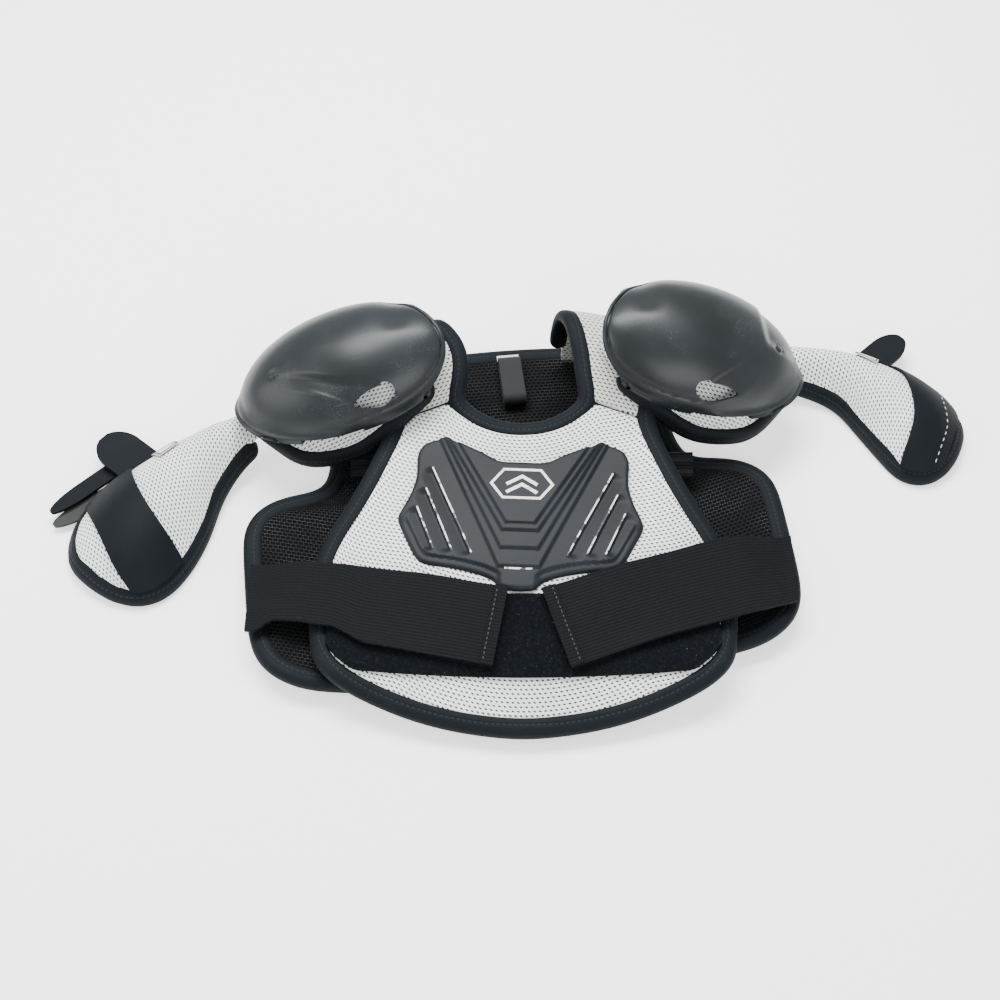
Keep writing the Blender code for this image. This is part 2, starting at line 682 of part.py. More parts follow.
def make_shoulders():
    for label, side in SIDES:
        pivot = shoulder_frame(side, 0, 0, 0) * MM
        outer = dome_surface(side, CUP_LENGTH, CUP_WIDTH, CUP_HEIGHT, no_drop, 0.0)
        cup = draped_sheet(f"shoulder_cup_{label}", outer, 12, 10, CUP_WALL, "plastic", pivot=pivot)
        vent = shoulder_frame(side, CUP_CENTRE_OUT - 8, -38, 90)
        place = Matrix.Translation(vent * MM) @ Matrix.Rotation(side * CUP_SWING[side], 4, "Z")
        cut(cup, rounded_box(f"vent_{label}", (26, 9, 60), place, None, corner=0.45))
        inner_length = CUP_LENGTH - 2 * (CUP_WALL + 3.0)
        inner_width = CUP_WIDTH - 2 * (CUP_WALL + 2.0)
        pad = dome_surface(side, inner_length, inner_width, CUP_HEIGHT - 6, pad_drop, 1.0)
        draped_sheet(f"shoulder_pad_{label}", pad, 10, 8, SHOULDER_PAD_THICKNESS, "cover",
                     pivot=pivot)
        rim = []
        steps = 20
        for i in range(steps):
            angle = math.radians(mix(*BINDING_ARC[side], i / (steps - 1)))
            out = math.cos(angle) * inner_length / 2
            head = math.sin(angle) * inner_width / 2
            below = 3.6 + SHOULDER_BINDING_RADIUS
            z = rim_height(out, head, pad_drop(out, head) + below)
            inwards = 1 - 3.0 / math.hypot(out, head)
            rim.append(shoulder_frame(side, CUP_CENTRE_OUT + out * inwards, head * inwards, z))
        tube(f"shoulder_binding_{label}", rim, SHOULDER_BINDING_RADIUS, "binding", pivot=pivot)
        make_rivet(label, side, outer, pivot)
        make_underarm_elastic(label, side)


def make_rivet(label, side, outer, pivot):
    """Low domed rivet on the arm end of the cup."""
    u, v = 0.5, -0.1
    centre = outer(u, v)
    normal = surface_normal(outer, u, v)
    if normal.z < 0:
        normal = -normal
    bm = bmesh.new()
    bmesh.ops.create_cone(bm, cap_ends=True, segments=14, radius1=4.0 * MM, radius2=2.6 * MM,
                          depth=1.6 * MM)
    turn = Vector((0, 0, 1)).rotation_difference(normal)
    bmesh.ops.rotate(bm, verts=bm.verts, cent=(0, 0, 0), matrix=turn.to_matrix())
    bmesh.ops.translate(bm, verts=bm.verts, vec=(centre + normal * 1.6) * MM)
    add_mesh(f"cup_rivet_{label}", bm, "rivet", pivot)


def make_underarm_elastic(label, side):
    """Short ribbed elastic between the chest's arm opening and the shoulder pad."""
    def place(u, v):
        k = (v + 1) / 2
        return Vector((side * (97.0 + 11.0 * u) + FRONT_X, mix(45.0, 53.0, k), mix(26.0, 33.0, k)))

    draped_sheet(f"underarm_elastic_{label}", place, 3, 2, 2.0, "elastic")


# ---- arm pads ----
ARM_YAW = {-1: math.radians(46.0), 1: math.radians(22.0)}      # below the sideways line
ARM_ROOT = {-1: (170.0, 88.0), 1: (176.0, 134.0)}
ARM_SLIDE = {-1: 2.0, 1: -26.0}
# how far each edge lies from the arm's line; the near edge is hollow towards the cup
ARM_NEAR = {-1: [(0.0, 4), (0.15, 4), (0.33, 12), (0.5, 27), (0.68, 39), (0.85, 43), (0.95, 34),
                 (1.0, 20)],
            1: [(0.0, 2), (0.22, -3), (0.35, -5), (0.46, -2), (0.57, 10), (0.72, 27), (0.84, 39),
                (0.95, 34), (1.0, 22)]}
ARM_FAR = [(0.0, 20), (0.25, 34), (0.5, 42), (0.7, 41), (0.85, 34), (0.95, 23), (1.0, 13)]
ARM_CREST = [(0.0, 28), (0.25, 31), (0.5, 33), (0.75, 33), (0.9, 26), (1.0, 14)]
ARM_EDGE = [(0.0, 21), (0.2, 16), (0.4, 11.5), (0.6, 10), (1.0, 10)]


def arm_frame(side, out, across, z):
    """Arm axes (out along the arm, across towards the head, up) to the world."""
    yaw = ARM_YAW[side]
    out += ARM_SLIDE[side]
    x = out * math.cos(yaw) + across * math.sin(yaw)
    y = -out * math.sin(yaw) + across * math.cos(yaw)
    root_x, root_y = ARM_ROOT[side]
    return Vector((side * (root_x + x) + FRONT_X, root_y + y, z))


def arm_surface(side):
    def place(u, v):
        t = (v + 1) / 2
        across = mix(-along(ARM_NEAR[side], t), along(ARM_FAR, t), (u + 1) / 2)
        crest, edge = along(ARM_CREST, t), along(ARM_EDGE, t)
        z = edge + max(crest - edge, 0) * (1 - abs(u) ** 2.2)
        return arm_frame(side, t * ARM_LENGTH, across, z)
    return place


def arm_over(side, lift, u, t):
    """A point lifted off the arm pad, u across and t from 0 at the cup to 1."""
    base = arm_surface(side)
    point = base(u, 2 * t - 1)
    normal = surface_normal(base, u, 2 * t - 1)
    if normal.z < 0:
        normal = -normal
    return point + normal * lift


def arm_band_surface(side, lift):
    """Elastic band across the pad; it leans towards the cup at its far end."""
    half = ARM_BAND_WIDTH / 2 / ARM_LENGTH

    def place(u, v):
        t = BAND_MIDDLE[side] - 0.08 * u - 0.10 * u * u + v * half
        return arm_over(side, lift, u * 0.97, t)
    return place


def arm_label_surface(side):
    def place(u, v):
        return arm_over(side, 2.2, 0.55 + 0.16 * v, 0.44 + 0.055 * u)
    return place


def tongue_surface(side, start, end, half, low, rise):
    """Flat strap end from start to end, both (out, across) in arm axes."""
    run = Vector((end[0] - start[0], end[1] - start[1], 0)).normalized()
    beside = Vector((-run.y, run.x, 0))

    def place(u, v):
        k = (v + 1) / 2
        narrow = math.sqrt(max(1 - max(k - 0.55, 0.0) ** 2 / 0.45 ** 2 * 0.8, 0.05))
        out = mix(start[0], end[0], k) + beside.x * u * half * narrow
        across = mix(start[1], end[1], k) + beside.y * u * half * narrow
        return arm_frame(side, out, across, low + rise * k)
    return place


# strap ends: start and end (out, across), half width, height and rise
TABS = {-1: ((72.0, 54.0), (74.0, 75.0), 15.0, 12.0, 3.0),
        1: ((83.0, 54.0), (92.0, 73.0), 11.0, 12.0, 2.0)}
TAILS = {-1: ((97.0, 54.0), (134.0, 54.0), 6.0, 8.0, 1.0),
         1: ((78.0, 12.0), (112.0, 12.0), 9.0, 3.0, 0.0)}


def make_arms():
    for label, side in SIDES:
        surface = arm_surface(side)
        pivot = arm_frame(side, ARM_HINGE_OUT - ARM_SLIDE[side], 0, ARM_HINGE_Z) * MM
        layers = [("arm_mesh", "cover", 0.0, SKIN),
                  ("arm_foam", "foam", SKIN + LAYER_GAP, ARM_FOAM),
                  ("arm_lining", "lining", SKIN + ARM_FOAM + 2 * LAYER_GAP, SKIN)]
        for name, finish, depth, thickness in layers:
            draped_sheet(f"{name}_{label}", surface, *ARM_CELLS, thickness, finish, depth,
                         pivot=pivot)
        clear = ARM_BINDING_RADIUS + BINDING_GAP
        depth = (2 * SKIN + ARM_FOAM + 2 * LAYER_GAP) / 2
        inner = ARM_CELLS[0] - 1
        path = edge_path(surface, "left", ARM_CELLS, clear, depth, first=1)
        path += edge_path(surface, "top", ARM_CELLS, clear, depth, first=1, last=inner)
        path += edge_path(surface, "right", ARM_CELLS, clear, depth, True, first=1)
        tube(f"arm_binding_{label}", path, ARM_BINDING_RADIUS, "binding", pivot=pivot)
        band = arm_band_surface(side, BAND_LIFT + ARM_BAND_THICKNESS)
        draped_sheet(f"arm_band_{label}", band, 8, 3, ARM_BAND_THICKNESS, "elastic", pivot=pivot)
        draped_sheet(f"arm_label_{label}", arm_label_surface(side), 2, 2, 0.6, "label",
                     pivot=pivot)
        start, end, half, low, rise = TABS[side]
        tab = tongue_surface(side, start, end, half, low, rise)
        draped_sheet(f"arm_strap_tab_{label}", tab, 4, 6, STRAP_THICKNESS, "elastic",
                     pivot=arm_frame(side, *start, low) * MM)
        start, end, half, low, rise = TAILS[side]
        tail = tongue_surface(side, start, end, half, low, rise)
        draped_sheet(f"arm_strap_tail_{label}", tail, 2, 6, STRAP_THICKNESS, "elastic",
                     pivot=arm_frame(side, *start, low) * MM)


FRONT_PIECES = ("front_mesh_cover", "front_foam", "front_lining", "front_binding",
                "neck_binding", "yoke_left", "yoke_right", "chest_plate", "chest_badge",
                "strap_landing", "underarm_elastic_left", "underarm_elastic_right")
COLLAR_HINGE = (0.0, 158.0, 13.0)      # the chest pad lifts about the collar seam


def carry_on_hinge(name, pivot, pieces):
    """Parent the named pieces to an empty on their joint's axis."""
    hinge = bpy.data.objects.new(name, None)
    hinge.location = pivot
    PARTS.objects.link(hinge)
    for piece in pieces:
        item = bpy.data.objects[piece]
        item.parent = hinge
        item.matrix_parent_inverse = Matrix.Translation(-pivot)


make_back()
make_collar_pieces()
make_front()
make_yokes()
make_front_bindings()
make_chest_plate()
make_waist_straps()
make_shoulders()
make_arms()
carry_on_hinge("front_lift", back_point(*COLLAR_HINGE) * MM, FRONT_PIECES)
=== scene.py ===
"""Looks of a child's chest, back and shoulder guard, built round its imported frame.

The guard lies on its back: +X is the wearer's left, +Y points to the head, +Z out of the
chest. Shape functions work in millimetres; meshes are in metres.
"""

import math

import bpy
from mathutils import Matrix, Vector


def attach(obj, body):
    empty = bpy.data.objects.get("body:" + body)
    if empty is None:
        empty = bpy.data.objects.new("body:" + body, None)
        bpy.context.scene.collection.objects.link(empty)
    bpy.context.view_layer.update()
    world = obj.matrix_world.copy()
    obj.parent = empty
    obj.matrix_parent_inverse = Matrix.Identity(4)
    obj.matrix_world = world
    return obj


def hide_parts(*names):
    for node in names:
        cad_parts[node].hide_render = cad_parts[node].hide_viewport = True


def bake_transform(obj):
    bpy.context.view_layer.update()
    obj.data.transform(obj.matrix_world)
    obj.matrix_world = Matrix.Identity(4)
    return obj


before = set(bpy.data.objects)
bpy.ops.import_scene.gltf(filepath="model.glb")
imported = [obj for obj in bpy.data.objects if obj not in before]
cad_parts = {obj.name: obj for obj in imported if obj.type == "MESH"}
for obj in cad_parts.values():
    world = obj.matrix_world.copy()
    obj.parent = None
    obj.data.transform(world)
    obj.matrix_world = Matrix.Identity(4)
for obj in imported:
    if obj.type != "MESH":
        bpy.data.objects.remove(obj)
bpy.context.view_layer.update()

MM = 0.001
WELD = 0.00002              # vertices closer than this many metres are one
SIDES = (("left", -1), ("right", 1))

# ---- sizes that the frame shares with these pieces, in millimetres ----
BACK_YAW = math.radians(6.5)
BACK_HALF_WIDTH = 162.0
BACK_TOP = 12.4
BACK_PAD = 8.4
FRONT_X = 3.0
FRONT_PAD = 9.6
YOKE_PAD = 7.0
TAPE_OUT = 3.6              # centre of an edge tape beyond the pad's edge
TAPE_HALF_WIDTH = 7.0
TAPE_HALF_HEIGHT = 5.2
LANDING_LIFT = 0.9
LANDING_THICKNESS = 1.7
STRAP_LIFT = 5.0
STRAP_THICKNESS = 2.0
STRAP_HALF_WIDTH = 26.0
STRAP_HINGE_X = 128.0
STRAP_ROOT_X = 168.0
CUP_CENTRE_OUT = 68.0
CUP_WALL = 2.4
RIM_MIDDLE = 60.0
RIM_TILT = 20.0
SWING_PIVOT = (46.0, 108.0)
CUP_SWING = {-1: math.radians(-6.0), 1: math.radians(4.0)}
CUP_SHIFT_Y = {-1: -2.0, 1: 5.0}
CUP_LENGTH = {-1: 140.0, 1: 138.0}
CUP_WIDTH = {-1: 90.0, 1: 96.0}
CUP_HEIGHT = {-1: 35.0, 1: 38.0}
ARM_LENGTH = 147.0
ARM_PAD = 7.4
ARM_YAW = {-1: math.radians(46.0), 1: math.radians(22.0)}
ARM_ROOT = {-1: (170.0, 88.0), 1: (176.0, 134.0)}
ARM_SLIDE = {-1: 2.0, 1: -26.0}


# ---- curves and surfaces ----
def along(stations, t):
    """Smooth value at t through (t, value) stations."""
    last = len(stations) - 1
    t = min(max(t, stations[0][0]), stations[last][0])
    i = 0
    while i < last - 1 and t > stations[i + 1][0]:
        i += 1
    (t0, v0), (t1, v1) = stations[i], stations[i + 1]
    span = t1 - t0

    def slope(k):
        low, high = max(k - 1, 0), min(k + 1, last)
        return (stations[high][1] - stations[low][1]) / (stations[high][0] - stations[low][0])

    s = (t - t0) / span
    return ((2 * s ** 3 - 3 * s ** 2 + 1) * v0 + (s ** 3 - 2 * s ** 2 + s) * span * slope(i)
            + (3 * s ** 2 - 2 * s ** 3) * v1 + (s ** 3 - s ** 2) * span * slope(i + 1))


def smooth_step(t):
    t = min(max(t, 0.0), 1.0)
    return t * t * (3 - 2 * t)


def mix(a, b, k):
    return a + (b - a) * k


def surface_normal(place, u, v, step=0.02):
    """Upward direction of a surface place(u, v)."""
    du = place(min(u + step, 1), v) - place(max(u - step, -1), v)
    dv = place(u, min(v + step, 1)) - place(u, max(v - step, -1))
    return du.cross(dv).normalized()


def is_turned(place):
    """True where place(u, v) runs the other way round, as on the left side."""
    return surface_normal(place, 0, 0).z < 0


# ---- mesh helpers ----
def only(piece):
    """Select this object alone and make it active."""
    bpy.ops.object.select_all(action="DESELECT")
    piece.select_set(True)
    bpy.context.view_layer.objects.active = piece


def named_primitive(add, name, **values):
    """Add a primitive with nothing else selected and name it and its mesh."""
    bpy.ops.object.select_all(action="DESELECT")
    add(**values)
    piece = bpy.context.object
    piece.name = name
    piece.data.name = name
    return piece


def grid_over(name, place, columns, rows):
    """A grid primitive laid over place(u, v), with UVs in metres along the cloth."""
    piece = named_primitive(bpy.ops.mesh.primitive_grid_add, name,
                            x_subdivisions=columns, y_subdivisions=rows, size=2.0)
    for vert in piece.data.vertices:
        vert.co = place(vert.co.x, vert.co.y) * MM
    lay_uv(piece, columns, rows)
    return piece


def mend(piece, weld=False, cap_sides=0, outward=True):
    """Weld close vertices, cap open ends and turn the faces outwards, as asked."""
    only(piece)
    bpy.ops.object.mode_set(mode="EDIT")
    bpy.ops.mesh.select_all(action="SELECT")
    if weld:
        bpy.ops.mesh.remove_doubles(threshold=WELD)
    if cap_sides:
        bpy.ops.mesh.fill_holes(sides=cap_sides)
    if outward:
        bpy.ops.mesh.normals_make_consistent(inside=False)
    bpy.ops.object.mode_set(mode="OBJECT")


def joined(name, pieces):
    """Join pieces into one object."""
    bpy.ops.object.select_all(action="DESELECT")
    for piece in pieces:
        piece.select_set(True)
    bpy.context.view_layer.objects.active = pieces[0]
    bpy.ops.object.join()
    pieces[0].name = name
    pieces[0].data.name = name
    return pieces[0]


def apply_modifier(piece, kind, **values):
    """Add a modifier with these settings and apply it."""
    modifier = piece.modifiers.new(kind.lower(), kind)
    for name, value in values.items():
        setattr(modifier, name, value)
    only(piece)
    bpy.ops.object.modifier_apply(modifier=modifier.name)


def subdivide_smooth(piece, levels=1):
    apply_modifier(piece, "SUBSURF", levels=levels, render_levels=levels)


def smooth_shading(piece, angle=45.0):
    only(piece)
    bpy.ops.object.shade_smooth_by_angle(angle=math.radians(angle))


def lay_uv(piece, columns, rows):
    """Give a draped grid UVs in metres, measured along the cloth."""
    points = [vert.co.copy() for vert in piece.data.vertices]
    wide = columns + 1
    across, down = [0.0] * len(points), [0.0] * len(points)
    middle_column, middle_row = columns // 2, rows // 2
    for j in range(rows + 1):
        for i in range(1, wide):
            k = j * wide + i
            across[k] = across[k - 1] + (points[k] - points[k - 1]).length
        centre = across[j * wide + middle_column]
        for i in range(wide):
            across[j * wide + i] -= centre
    for i in range(wide):
        for j in range(1, rows + 1):
            k = j * wide + i
            down[k] = down[k - wide] + (points[k] - points[k - wide]).length
        centre = down[middle_row * wide + i]
        for j in range(rows + 1):
            down[j * wide + i] -= centre
    layer = piece.data.uv_layers[0]
    for loop in piece.data.loops:
        layer.data[loop.index].uv = (across[loop.vertex_index], down[loop.vertex_index])


def draped_grid(name, place, columns, rows):
    """A grid laid over place(u, v), its faces pointing up."""
    piece = grid_over(name, place, columns, rows)
    if is_turned(place):
        piece.data.flip_normals()
    return piece


def finish_piece(piece, materials, body, replaced=()):
    """Give a piece its materials, its body and what it stands for."""
    piece.data.materials.clear()
    for material in materials:
        piece.data.materials.append(material)
    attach(piece, body)
    if replaced:
        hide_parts(*replaced)
    return piece


def sheet_piece(name, place, columns, rows, thickness):
    """A cloth sheet whose top is place(u, v)."""
    piece = draped_grid(name, place, columns, rows)
    apply_modifier(piece, "SOLIDIFY", thickness=thickness * MM, offset=-1.0)
    smooth_shading(piece, 50.0)
    return piece


def edge_share(u, v, reach):
    """0 on the edge of a sheet, 1 further in than reach."""
    return smooth_step(min(1 - abs(u), 1 - abs(v)) / reach)


def puff(piece, held, pressure, cap, frames=20):
    """Blow a closed pad up as cloth; its held vertices stay, the others move at most cap."""
    scene = bpy.context.scene
    start = [vert.co.copy() for vert in piece.data.vertices]
    cloth = piece.modifiers.new("puff", "CLOTH")
    settings = cloth.settings
    settings.quality = 4
    settings.mass = 0.3
    settings.tension_stiffness = 12.0
    settings.compression_stiffness = 12.0
    settings.shear_stiffness = 5.0
    settings.bending_stiffness = 0.6
    settings.use_pressure = True
    settings.uniform_pressure_force = pressure
    settings.effector_weights.gravity = 0.0
    settings.vertex_group_mass = held
    cloth.point_cache.frame_start = 1
    cloth.point_cache.frame_end = frames
    for number in range(1, frames + 1):
        scene.frame_set(number)
    evaluated = piece.evaluated_get(bpy.context.evaluated_depsgraph_get())
    moved = [vert.co.copy() for vert in evaluated.data.vertices]
    piece.modifiers.remove(cloth)
    for vert, first, last in zip(piece.data.vertices, start, moved):
        shift = last - first
        if shift.length > cap * MM:
            shift *= cap * MM / shift.length
        vert.co = first + shift
    scene.frame_set(1)


def pad_piece(name, place, columns, rows, thickness, pressure=4.0, cap=3.0, reach=0.12,
              thin=0.62, sewn=None, sewn_share=0.6, covered=None):
    """A padded panel: full in the middle, pinched towards its edges, then blown up a little.

    sewn(u, v) is true on a seam sewn through it and covered(u, v) where something lies on it.
    Its top faces take material 0 and its underside material 1.
    """
    piece = draped_grid(name, place, columns, rows)
    full = piece.vertex_groups.new(name="full")
    held = piece.vertex_groups.new(name="held")
    for index in range(len(piece.data.vertices)):
        u = -1 + 2 * (index % (columns + 1)) / columns
        v = -1 + 2 * (index // (columns + 1)) / rows
        share = edge_share(u, v, reach)
        weight = mix(thin, 1.0, share)
        fixed = share < 0.02
        if sewn is not None and sewn(u, v):
            weight, fixed = min(weight, sewn_share), True
        if covered is not None and covered(u, v):
            fixed = True
        full.add([index], weight, "REPLACE")
        held.add([index], 1.0 if fixed else 0.0, "REPLACE")
    apply_modifier(piece, "SOLIDIFY", thickness=thickness * MM, offset=-1.0,
                   vertex_group="full", material_offset=1, material_offset_rim=1)
    puff(piece, "held", pressure, cap)
    subdivide_smooth(piece)
    smooth_shading(piece, 80.0)
    return piece


def rounded_path(points, closed, passes):
    """Points with their corners worn round."""
    count = len(points)
    for _ in range(passes):
        fresh = []
        for i, point in enumerate(points):
            if not closed and i in (0, count - 1):
                fresh.append(point)
            else:
                before, after = points[i - 1], points[(i + 1) % count]
                fresh.append(point * 0.5 + (before + after) * 0.25)
        points = fresh
    return points


def even_path(points, step):
    """The same line with a point about every step millimetres."""
    fresh, left = [points[0]], step
    for first, last in zip(points, points[1:]):
        length = (last - first).length
        while left <= length:
            fresh.append(first.lerp(last, left / length))
            left += step
        left -= length
    if (fresh[-1] - points[-1]).length > step * 0.4:
        fresh.append(points[-1])
    return fresh


def edge_rail(place, side, first, last, count, out, depth):
    """(point, upward) pairs beside one edge of a sheet."""
    sign = -1 if is_turned(place) else 1
    rail = []
    for i in range(count):
        t = mix(first, last, i / (count - 1))
        u, v, iu, iv = {
            "left": (-1, t, -0.96, t), "right": (1, t, 0.96, t),
            "bottom": (t, -1, t, -0.96), "top": (t, 1, t, 0.96),
        }[side]
        edge = place(u, v)
        normal = surface_normal(place, u, v) * sign
        if side in ("left", "right"):
            tangent = place(u, min(v + 0.02, 1)) - place(u, max(v - 0.02, -1))
        else:
            tangent = place(min(u + 0.02, 1), v) - place(max(u - 0.02, -1), v)
        tangent.normalize()
        outward = edge - place(iu, iv)
        outward = (outward - tangent * outward.dot(tangent)).normalized()
        rail.append((edge + outward * out - normal * depth, normal))
    return rail


def tape_piece(name, rail, half_width, half_height, closed, ring=14, passes=8, step=3.0,
               blunt=True):
    """Edge tape folded round a pad: a soft flat tube along a rail of (point, upward)."""
    line = [point for point, _ in rail]
    if closed:
        line = line + [line[0]]
    dense = even_path(line, step)
    if closed:
        dense = dense[:-1]
    dense = rounded_path(dense, closed, passes)
    count = len(dense)
    frames = []
    for i, point in enumerate(dense):
        upward = min(rail, key=lambda pair: (pair[0] - point).length_squared)[1]
        before = dense[i - 1] if closed or i > 0 else point
        after = dense[(i + 1) % count] if closed or i < count - 1 else point
        tangent = (after - before).normalized()
        upward = (upward - tangent * upward.dot(tangent)).normalized()
        frames.append((point, tangent.cross(upward).normalized(), upward))
    rows = count if closed else count - 1

    def place(u, v):
        index = int(round((v + 1) / 2 * rows))
        point, sideways, upward = frames[index % count]
        angle = math.pi * u
        c, s = math.cos(angle), math.sin(angle)
        end = min(index, count - 1 - index)
        scale = 1.0 if closed or not blunt else (0.05, 0.75, 0.95, 1.0)[min(end, 3)]
        x = math.copysign(abs(c) ** 0.85, c) * half_width * scale
        z = math.copysign(abs(s) ** 0.85, s) * half_height * scale
        return point - sideways * x + upward * z

    piece = grid_over(name, place, ring, rows)
    mend(piece, weld=True, cap_sides=ring + 1)
    subdivide_smooth(piece)
    smooth_shading(piece, 80.0)
    return piece


def stitch_row(name, rail, length, gap, radius):
    """A row of thread stitches lying along a rail of (point, upward)."""
    line = even_path([point for point, _ in rail], length + gap)
    bead = named_primitive(bpy.ops.mesh.primitive_uv_sphere_add, "bead",
                           segments=6, ring_count=4, radius=1.0)
    copies = []
    for first, last in zip(line, line[1:]):
        upward = min(rail, key=lambda pair: (pair[0] - first).length_squared)[1]
        run = (last - first).normalized()
        sideways = run.cross(upward).normalized()
        turn = Matrix((run, sideways, run.cross(sideways))).transposed().to_4x4()
        size = Matrix.Diagonal((length / 2 * MM, radius * MM, radius * MM, 1.0))
        copy = bead.copy()
        copy.data = bead.data.copy()
        copy.data.transform(Matrix.Translation((first + last) / 2 * MM) @ turn @ size)
        bpy.context.scene.collection.objects.link(copy)
        copies.append(copy)
    bpy.data.objects.remove(bead)
    piece = joined(name, copies)
    mend(piece)
    smooth_shading(piece, 60.0)
    return piece


# ---- node helpers ----
def new_group(name, inputs, outputs):
    """A shader node group with named sockets; returns the tree and its end nodes."""
    tree = bpy.data.node_groups.new(name, "ShaderNodeTree")
    for title, kind, value in inputs:
        socket = tree.interface.new_socket(title, in_out="INPUT", socket_type=kind)
        if value is not None:
            socket.default_value = value
    for title, kind in outputs:
        tree.interface.new_socket(title, in_out="OUTPUT", socket_type=kind)
    return tree, tree.nodes.new("NodeGroupInput"), tree.nodes.new("NodeGroupOutput")


def feed(tree, socket, value):
    """Set a socket to a number or link it to another socket."""
    if isinstance(value, bpy.types.NodeSocket):
        tree.links.new(value, socket)
    elif value is not None:
        socket.default_value = value


def calc(tree, operation, first, second=None, third=None):
    """The output of a Math node."""
    node = tree.nodes.new("ShaderNodeMath")
    node.operation = operation
    for socket, value in zip(node.inputs, (first, second, third)):
        feed(tree, socket, value)
    return node.outputs[0]


def spread(tree, value, low, high, start=0.0, end=1.0):
    """value mapped smoothly from low..high to start..end."""
    node = tree.nodes.new("ShaderNodeMapRange")
    node.interpolation_type = "SMOOTHSTEP"
    for socket, number in zip(node.inputs, (value, low, high, start, end)):
        feed(tree, socket, number)
    return node.outputs[0]


def noise(tree, vector, scale, detail=4.0, roughness=0.5):
    node = tree.nodes.new("ShaderNodeTexNoise")
    feed(tree, node.inputs["Vector"], vector)
    node.inputs["Scale"].default_value = scale
    node.inputs["Detail"].default_value = detail
    node.inputs["Roughness"].default_value = roughness
    return node.outputs["Fac"]


def blend_colour(tree, share, first, second):
    node = tree.nodes.new("ShaderNodeMix")
    node.data_type = "RGBA"
    feed(tree, node.inputs["Factor"], share)
    feed(tree, node.inputs[6], first)
    feed(tree, node.inputs[7], second)
    return node.outputs[2]


def parts_of(tree, vector):
    node = tree.nodes.new("ShaderNodeSeparateXYZ")
    feed(tree, node.inputs[0], vector)
    return node.outputs


def use_group(tree, group, **values):
    """Place a group in a material and set its inputs by name."""
    node = tree.nodes.new("ShaderNodeGroup")
    node.node_tree = group
    for title, value in values.items():
        feed(tree, node.inputs[title.replace("_", " ")], value)
    return node.outputs


def new_material(name, coordinates):
    """A material with its Principled shader and its coordinate socket."""
    material = bpy.data.materials.new(name)
    material.use_nodes = True
    tree = material.node_tree
    shader = tree.nodes["Principled BSDF"]
    source = tree.nodes.new("ShaderNodeTexCoord")
    return material, tree, shader, source.outputs[coordinates]


def roughen(tree, shader, mask, reach, base):
    """Link a roughness of base plus reach times a mask."""
    tree.links.new(calc(tree, "MULTIPLY_ADD", mask, reach, base), shader.inputs["Roughness"])


def bump(tree, shader, height, strength, distance):
    node = tree.nodes.new("ShaderNodeBump")
    node.inputs["Strength"].default_value = strength
    node.inputs["Distance"].default_value = distance
    feed(tree, node.inputs["Height"], height)
    tree.links.new(node.outputs[0], shader.inputs["Normal"])


def distance(tree, first, second):
    return calc(tree, "SQRT", calc(tree, "ADD", calc(tree, "MULTIPLY", first, first),
                                   calc(tree, "MULTIPLY", second, second)))


# ---- shared node groups ----
def punched_knit_group():
    """Knitted mesh with staggered slanted holes. Vector is in metres along the cloth."""
    tree, start, end = new_group(
        "Punched knit",
        [("Vector", "NodeSocketVector", None), ("Pitch across", "NodeSocketFloat", 0.0032),
         ("Pitch along", "NodeSocketFloat", 0.0026), ("Hole", "NodeSocketFloat", 0.27),
         ("Slant", "NodeSocketFloat", 0.45)],
        [("Holes", "NodeSocketFloat"), ("Relief", "NodeSocketFloat")])
    x, y, _ = parts_of(tree, start.outputs["Vector"])
    x = calc(tree, "DIVIDE", x, start.outputs["Pitch across"])
    y = calc(tree, "DIVIDE", y, start.outputs["Pitch along"])
    row = calc(tree, "FLOOR", y)
    stagger = calc(tree, "MULTIPLY", calc(tree, "FLOORED_MODULO", row, 2.0), 0.5)
    shifted = calc(tree, "ADD", x, stagger)
    fx = calc(tree, "SUBTRACT", calc(tree, "FRACT", shifted), 0.5)
    fy = calc(tree, "SUBTRACT", calc(tree, "FRACT", y), 0.5)
    leaning = calc(tree, "MULTIPLY_ADD", fy, start.outputs["Slant"], fx)
    wide = calc(tree, "DIVIDE", leaning, start.outputs["Hole"])
    tall = calc(tree, "DIVIDE", fy, calc(tree, "MULTIPLY", start.outputs["Hole"], 0.85))
    holes = spread(tree, distance(tree, wide, tall), 1.25, 0.7)
    knit = calc(tree, "MULTIPLY", calc(tree, "SINE", calc(tree, "MULTIPLY", x, 4 * math.pi)),
                calc(tree, "SINE", calc(tree, "MULTIPLY", y, 4 * math.pi)))
    relief = calc(tree, "MULTIPLY_ADD", knit, 0.18, calc(tree, "SUBTRACT", 1.0, holes))
    tree.links.new(holes, end.inputs["Holes"])
    tree.links.new(relief, end.inputs["Relief"])
    return tree


